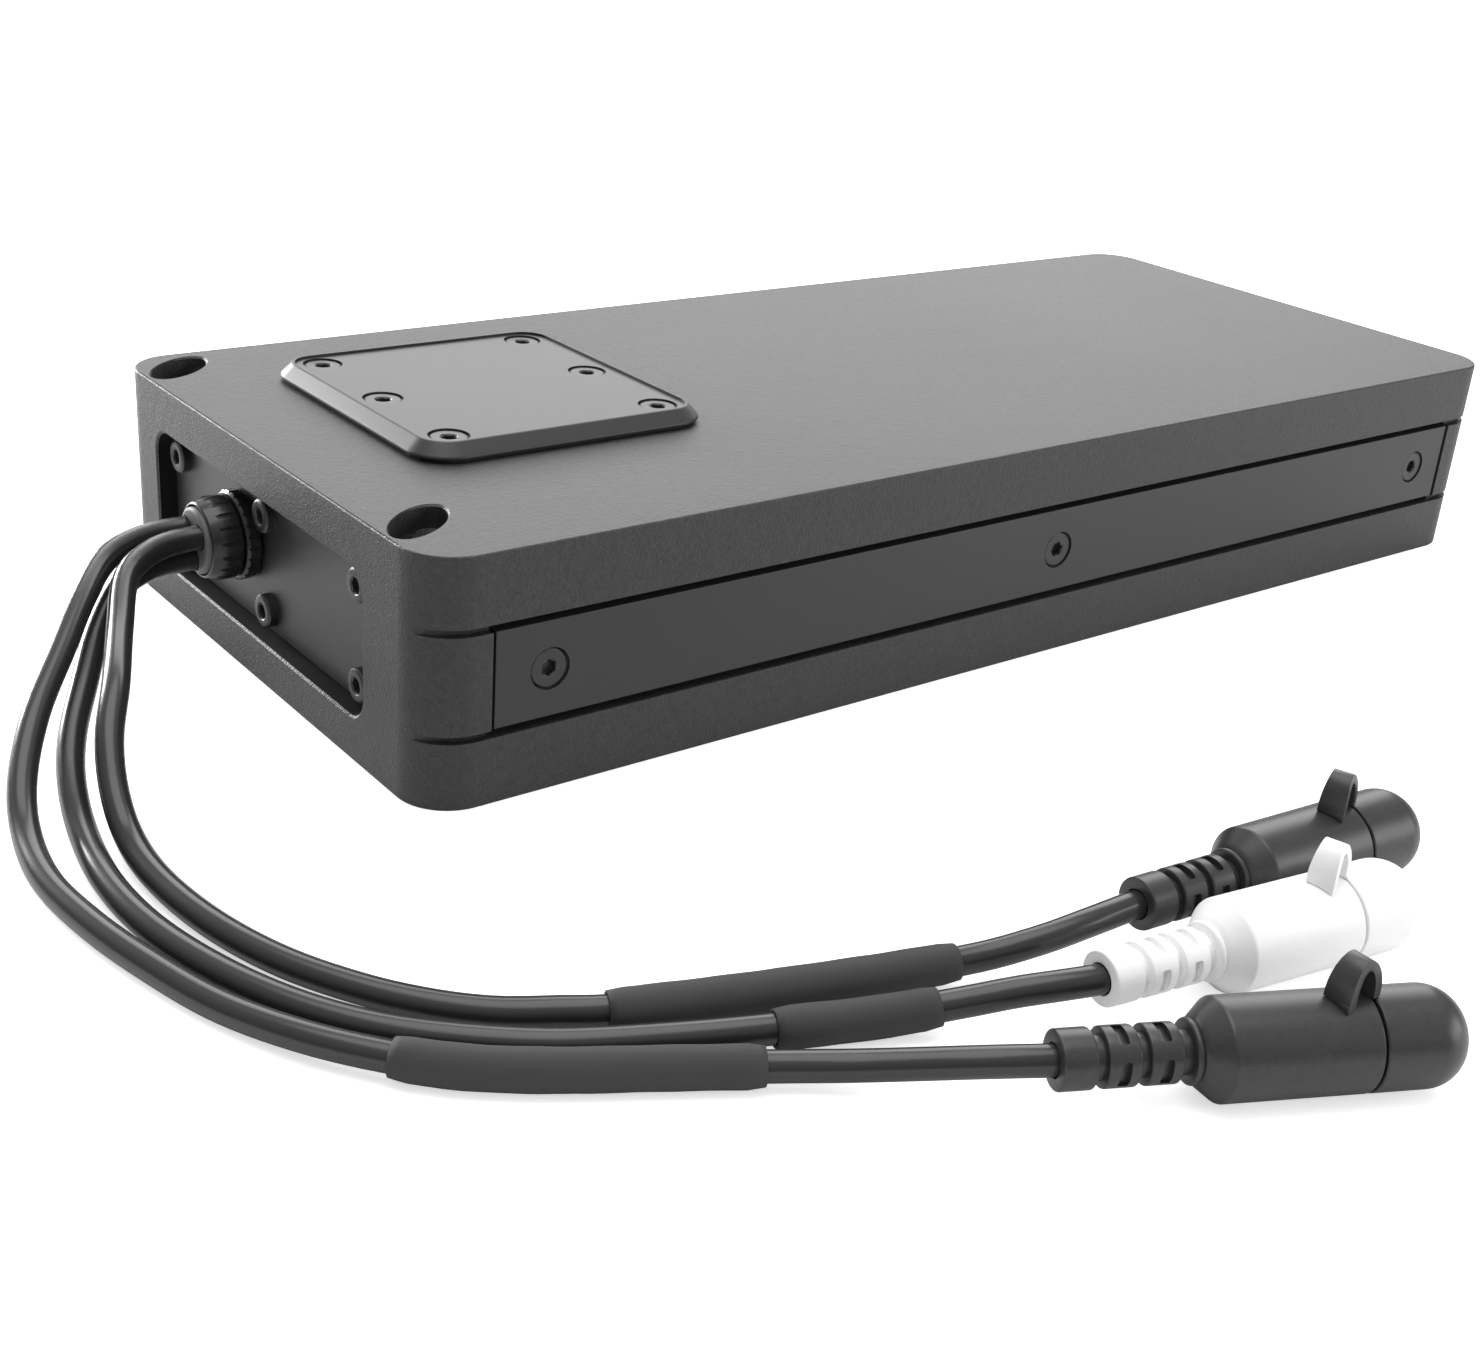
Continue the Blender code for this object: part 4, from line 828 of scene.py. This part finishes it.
def build_sleeves():
    """Shrink tubes that follow the leads, a little uneven and drawn in at their ends."""
    draw = random.Random(7)
    fit = 0.985
    drawn_in = (0.90, 0.95)
    before_case = -0.08
    for name, lead in LEADS.items():
        points, _ = smooth_points(lead_route(lead), SLEEVE_STEP)
        low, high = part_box("sleeve_" + name)
        inset = sizes().sleeve / 2 * 0.25
        ends = [low.x + inset, high.x - inset]
        covered = [p for p in points if ends[0] <= p.x <= ends[1] and p.y < before_case]
        wave = draw.uniform(0, 6)
        widths = []
        for index in range(len(covered)):
            edge = min(index, len(covered) - 1 - index)
            drawn = drawn_in[edge] if edge < len(drawn_in) else 1.0
            ripple = 0.009 * math.sin(index * 0.8 + wave) + draw.uniform(-0.003, 0.003)
            widths.append(drawn * (1 + ripple) * fit)
        skin = tube("sleeve_skin", covered, sizes().sleeve / 2, widths, False, 7)
        bpy.context.view_layer.update()
        solved = skin.evaluated_get(bpy.context.evaluated_depsgraph_get())
        mesh = bpy.data.meshes.new_from_object(solved)
        bpy.data.objects.remove(skin, do_unlink=True)
        bm = bmesh.new()
        bm.from_mesh(mesh)
        bpy.data.meshes.remove(mesh)
        bmesh.ops.remove_doubles(bm, verts=bm.verts, dist=1e-6)
        bmesh.ops.recalc_face_normals(bm, faces=bm.faces)
        piece = add_piece("fine_sleeve_" + name, bm, "shrink_tube", ROOT,
                          ["sleeve_" + name], 60, False)
        wall = piece.modifiers.new("wall", "SOLIDIFY")
        wall.thickness = 0.38 * MM
        wall.offset = -1.0
        wall.use_rim = True


def moulding(name):
    """The finish and the slot of a lead's moulded pieces."""
    return ("pale_moulding", "moulded_white") if name == PALE_LEAD else ("dark_moulding", "moulded_black")


def connector_place(lead):
    """A connector's own frame: +Z along its axis from the lead's end, and -X straight up."""
    x, y, heading = lead["connector"]
    return (Matrix.Translation((x * MM, y * MM, CONNECTOR_AXIS_HEIGHT * MM))
            @ Matrix.Rotation(math.radians(heading), 4, "Z") @ Matrix.Rotation(math.pi / 2, 4, "Y"))


def connector_profile():
    """The moulded body from inside its mouth, along the barrel and down to the lead's end."""
    radius = sizes().connector
    rib = 3.5 * MM
    soft = EDGE_ROUND
    neck = 2.6 * MM
    seam = CONNECTOR_SEAM
    points = [(0, seam - 9 * MM), (CONNECTOR_BORE, seam - 9 * MM), (CONNECTOR_BORE, seam)]
    points += arc(radius - EDGE_ROUND, seam - EDGE_ROUND, EDGE_ROUND, 90, 0, 3)
    points += arc(radius - 0.8 * MM, 19.4 * MM, 0.8 * MM, 0, -35, 4)
    points += [(4.4 * MM, 17.1 * MM), (3.95 * MM, 16.6 * MM)]
    points += arc(3.4 * MM, 16.05 * MM, 0.45 * MM, 60, -90, 5)
    points.append((neck, 15.6 * MM))
    for top, low in RIB_ENDS:
        points.append((neck, top * MM))
        points += arc(rib - soft, top * MM - soft, soft, 90, 0, 3)
        points += arc(rib - soft, low * MM + soft, soft, 0, -90, 3)
        if low:
            points.append((neck, low * MM))
    points += [(2.05 * MM, 0), (2.05 * MM, 7 * MM), (0, 7 * MM)]
    return points


def window_cutter():
    """Four windows round each of the two ribbed blocks, between their end rings."""
    shapes = []
    for top, low in RIB_ENDS[:2]:
        for number in range(4):
            turn = Matrix.Rotation(math.radians(90 * number + 5), 4, "Z")
            pane = block((3 * MM, 3.3 * MM, 1.3 * MM), (4.1 * MM, 0, (top + low) / 2 * MM), 0.25 * MM, 3, 0)
            shapes.append(moved(pane, turn))
    return gathered(shapes)


def build_connectors():
    """In-line connectors with a ribbed strain relief, a sloped shoulder and a smooth barrel."""
    for name, lead in LEADS.items():
        finish_name, slot = moulding(name)
        body = carve(spun(connector_profile(), 72), window_cutter())
        add_piece("fine_connector_" + name, moved(body, connector_place(lead)), finish_name, ROOT,
                  ["connector_" + name], 28)


def build_dust_caps():
    """A domed cap on each connector's mouth."""
    radius = sizes().connector
    for name, lead in LEADS.items():
        profile = [(0, CAP_LENGTH)] + arc(radius - CAP_DOME, CAP_LENGTH - CAP_DOME, CAP_DOME, 90, 0, 14)
        profile += arc(radius - EDGE_ROUND, GAP + EDGE_ROUND, EDGE_ROUND, 0, -90, 3)
        profile += [(CONNECTOR_BORE, GAP), (CONNECTOR_BORE, 8 * MM), (0, 8 * MM)]
        place = connector_place(lead) @ Matrix.Translation((0, 0, CONNECTOR_SEAM))
        finish_name, slot = moulding(name)
        add_piece("fine_dust_cap_" + name, moved(spun(profile, 72), place), finish_name, "cap_" + name,
                  ["dust_cap_" + name], 28)


def tether_shape():
    """A strap arched over the seam, with softened edges and legs that reach down to the barrel."""
    half_span = 2.2 * MM
    narrowing = 0.24
    rise = 4.2 * MM
    half = 0.6 * MM
    width = 3.6 * MM
    leg = 1.2 * MM
    steps = 24
    bm = bmesh.new()
    outline = []
    for grow, order in ((half, range(steps + 1)), (-half, range(steps, -1, -1))):
        row = []
        for number in order:
            angle = math.pi * number / steps
            row.append(bm.verts.new(((half_span + grow) * math.cos(angle),
                                     (rise + grow) * math.sin(angle), -width / 2)))
        first = bm.verts.new((row[0].co.x, -leg, -width / 2))
        last = bm.verts.new((row[-1].co.x, -leg, -width / 2))
        outline += [first, *row, last]
    face = bm.faces.new(outline)
    moved_side = bmesh.ops.extrude_face_region(bm, geom=[face])["geom"]
    bmesh.ops.translate(bm, vec=(0, 0, width),
                        verts=[v for v in moved_side if isinstance(v, bmesh.types.BMVert)])
    bmesh.ops.recalc_face_normals(bm, faces=bm.faces)
    rims = [e for e in bm.edges if abs(e.verts[0].co.z - e.verts[1].co.z) < SAME
            and min(v.co.y for v in e.verts) > -leg + 0.01 * MM and e.calc_face_angle(0) > 1.2]
    bevel_edges(bm, rims, 0.3 * MM, 3)
    top = rise + half
    for vert in bm.verts:
        vert.co.z *= 1 - narrowing * (max(vert.co.y, 0) / top) ** 2
    return bm


def build_tethers():
    """The straps that keep the caps with their connectors."""
    upright = Matrix(((0, -1, 0), (0, 0, 1), (-1, 0, 0))).to_4x4()
    lift = sizes().connector + 0.55 * MM
    for name, lead in LEADS.items():
        finish_name, slot = moulding(name)
        place = (Matrix.Translation((-lift, 0, TETHER_MIDDLE))
                 @ Matrix.Rotation(TETHER_TURN, 4, "X") @ upright)
        barrel = pins([(0, 0)], sizes().connector + 0.12 * MM, 25 * MM, 45 * MM, 64)
        strap = carve(moved(tether_shape(), place), barrel)
        piece = add_piece("fine_tether_" + name, moved(strap, connector_place(lead)), finish_name, None,
                          ["tether_" + name], 40, False)
        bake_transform(piece)


def dress_hidden_pieces():
    """Give the carried-over gaskets, electronics and contact carriers their finishes."""
    dressed = {
        "gasket": ["access_gasket", "end_gasket", "bottom_gasket"],
        "machined_alloy": ["heat_spreader"],
        "board_mask": ["main_board"],
        "tinned_steel": ["shield_can_uplink", "shield_can_downlink"],
        "nylon": ["lead_header"] + ["contact_carrier_" + name for name in LEADS],
        "gland_moulding": ["gland_locknut"],
    }
    for finish_name, nodes in dressed.items():
        for node in nodes:
            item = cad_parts[node]
            item.data.materials.clear()
            item.data.materials.append(material(finish_name))


# ---------------------------------------------------------------- stage


def add_light(name, place, aim, width, height, power):
    light = bpy.data.lights.new(name, "AREA")
    light.shape = "RECTANGLE"
    light.size = width
    light.size_y = height
    light.energy = power
    holder = bpy.data.objects.new(name, light)
    bpy.context.scene.collection.objects.link(holder)
    holder.location = place
    holder.rotation_mode = "QUATERNION"
    holder.rotation_quaternion = (Vector(aim) - Vector(place)).to_track_quat("-Z", "Y")
    holder.visible_camera = False


def build_camera():
    """The camera looks down on the connector end and the near side, turned slightly."""
    camera = bpy.data.cameras.new("camera")
    camera.lens = 47.46
    camera.sensor_width = 36
    camera.sensor_fit = "HORIZONTAL"
    camera.clip_start = 0.01
    camera.clip_end = 50
    holder = bpy.data.objects.new("camera", camera)
    bpy.context.scene.collection.objects.link(holder)
    holder.location = (-0.23582, -0.25529, 0.13123)
    holder.rotation_mode = "QUATERNION"
    roll = Quaternion((0, 0, 1), math.radians(4.747))
    holder.rotation_quaternion = Vector((0.5795, 0.7001, -0.4172)).to_track_quat("-Z", "Y") @ roll
    bpy.context.scene.camera = holder


def build_world():
    world = bpy.data.worlds.new("studio")
    bpy.context.scene.world = world
    world.use_nodes = True
    tree = world.node_tree
    tree.nodes.clear()
    height = add_node(tree, "ShaderNodeSeparateXYZ",
                      {"Vector": tree.nodes.new("ShaderNodeTexCoord").outputs["Generated"]}).outputs["Z"]
    glow = ranged(tree, height, 0.0, 0.9, 0.12, 0.85)
    seen = tree.nodes.new("ShaderNodeLightPath").outputs["Is Camera Ray"]
    soft = add_node(tree, "ShaderNodeBackground", {"Color": (1, 1, 1, 1), "Strength": glow})
    plain = add_node(tree, "ShaderNodeBackground", {"Color": (1, 1, 1, 1), "Strength": 1.0})
    both = add_node(tree, "ShaderNodeMixShader", {0: seen, 1: soft.outputs[0], 2: plain.outputs[0]})
    out = tree.nodes.new("ShaderNodeOutputWorld")
    tree.links.new(both.outputs[0], out.inputs["Surface"])


def build_floor():
    """A plain pale floor, a little lit by itself so that it stays even."""
    bm = bmesh.new()
    bmesh.ops.create_grid(bm, x_segments=1, y_segments=1, size=8)
    mesh = mesh_of("floor", bm)
    pale = bpy.data.materials.new("pale_floor")
    pale.use_nodes = True
    shader = pale.node_tree.nodes["Principled BSDF"]
    shader.inputs["Base Color"].default_value = (0.88, 0.88, 0.88, 1)
    shader.inputs["Roughness"].default_value = 0.7
    shader.inputs["Emission Color"].default_value = (1, 1, 1, 1)
    seen = pale.node_tree.nodes.new("ShaderNodeLightPath").outputs["Is Camera Ray"]
    pale.node_tree.links.new(math_node(pale.node_tree, "MULTIPLY", seen, 0.6),
                             shader.inputs["Emission Strength"])
    mesh.materials.append(pale)
    floor = bpy.data.objects.new("floor", mesh)
    bpy.context.scene.collection.objects.link(floor)


def build_stage():
    build_floor()
    build_world()
    add_light("back_softbox", (0.75, 0.95, 0.75), (0, 0, 0.02), 1.6, 1.1, 18)
    add_light("top_softbox", (-0.1, 0.0, 1.1), (0, 0, 0), 1.0, 1.0, 8)
    add_light("end_softbox", (-0.3, 1.0, 0.2), (-0.12, 0.03, 0.02), 0.4, 0.3, 14)
    add_light("side_softbox", (0.75, -0.9, 0.35), (0.05, -0.1, 0.02), 0.8, 0.5, 5)
    bpy.context.scene.view_settings.view_transform = "Standard"


# ---------------------------------------------------------------- add-on


def operator(name, label, words, build):
    """An operator class for one piece or group of like pieces."""
    def execute(self, context):
        build()
        return {"FINISHED"}
    return type("BOOSTER_OT_" + name, (bpy.types.Operator,),
                {"bl_idname": "booster." + name, "bl_label": label, "__doc__": words, "execute": execute})


STEPS = [
    operator("finishes", "Finishes", "Make the finishes", make_finishes),
    operator("camera", "Camera", "Set the camera", build_camera),
    operator("leads", "Leads", "Build the three leads", build_leads),
    operator("case", "Case", "Build the milled case", build_case),
    operator("access_cover", "Access cover", "Build the access cover", build_access_cover),
    operator("end_plate", "End plate", "Build the end plate", build_end_plate),
    operator("side_strips", "Side strips", "Build the side strips", build_side_strips),
    operator("bottom_cover", "Bottom cover", "Build the bottom cover", build_bottom_cover),
    operator("screws", "Screws", "Build the screws", build_screws),
    operator("gland", "Gland", "Build the cable gland", build_gland),
    operator("sleeves", "Sleeves", "Build the shrink sleeves", build_sleeves),
    operator("connectors", "Connectors", "Build the connectors", build_connectors),
    operator("dust_caps", "Dust caps", "Build the dust caps", build_dust_caps),
    operator("tethers", "Tethers", "Build the cap tethers", build_tethers),
    operator("hidden", "Hidden pieces", "Dress the pieces inside", dress_hidden_pieces),
    operator("cords", "Cords", "Declare the leads", declare_cords),
    operator("stage", "Stage", "Build the floor, lights and world", build_stage),
]


class BOOSTER_PT_panel(bpy.types.Panel):
    """The booster's sizes, colours and building steps."""
    bl_idname = "BOOSTER_PT_panel"
    bl_label = "Booster"
    bl_space_type = "VIEW_3D"
    bl_region_type = "UI"
    bl_category = "Booster"

    def draw(self, context):
        column = self.layout.column()
        for group in (context.scene.booster_sizes, context.scene.booster_colours):
            for name in group.__annotations__:
                column.prop(group, name)
        for step in STEPS:
            column.operator(step.bl_idname)


CLASSES = [BoosterSizes, BoosterColours, *STEPS, BOOSTER_PT_panel]


def register():
    for each in CLASSES:
        bpy.utils.register_class(each)
    bpy.types.Scene.booster_sizes = PointerProperty(type=BoosterSizes)
    bpy.types.Scene.booster_colours = PointerProperty(type=BoosterColours)


def unregister():
    del bpy.types.Scene.booster_colours
    del bpy.types.Scene.booster_sizes
    for each in reversed(CLASSES):
        bpy.utils.unregister_class(each)


def main():
    register()
    for step in STEPS:
        getattr(bpy.ops.booster, step.bl_idname.split(".")[1])()


if __name__ == "__main__":
    main()
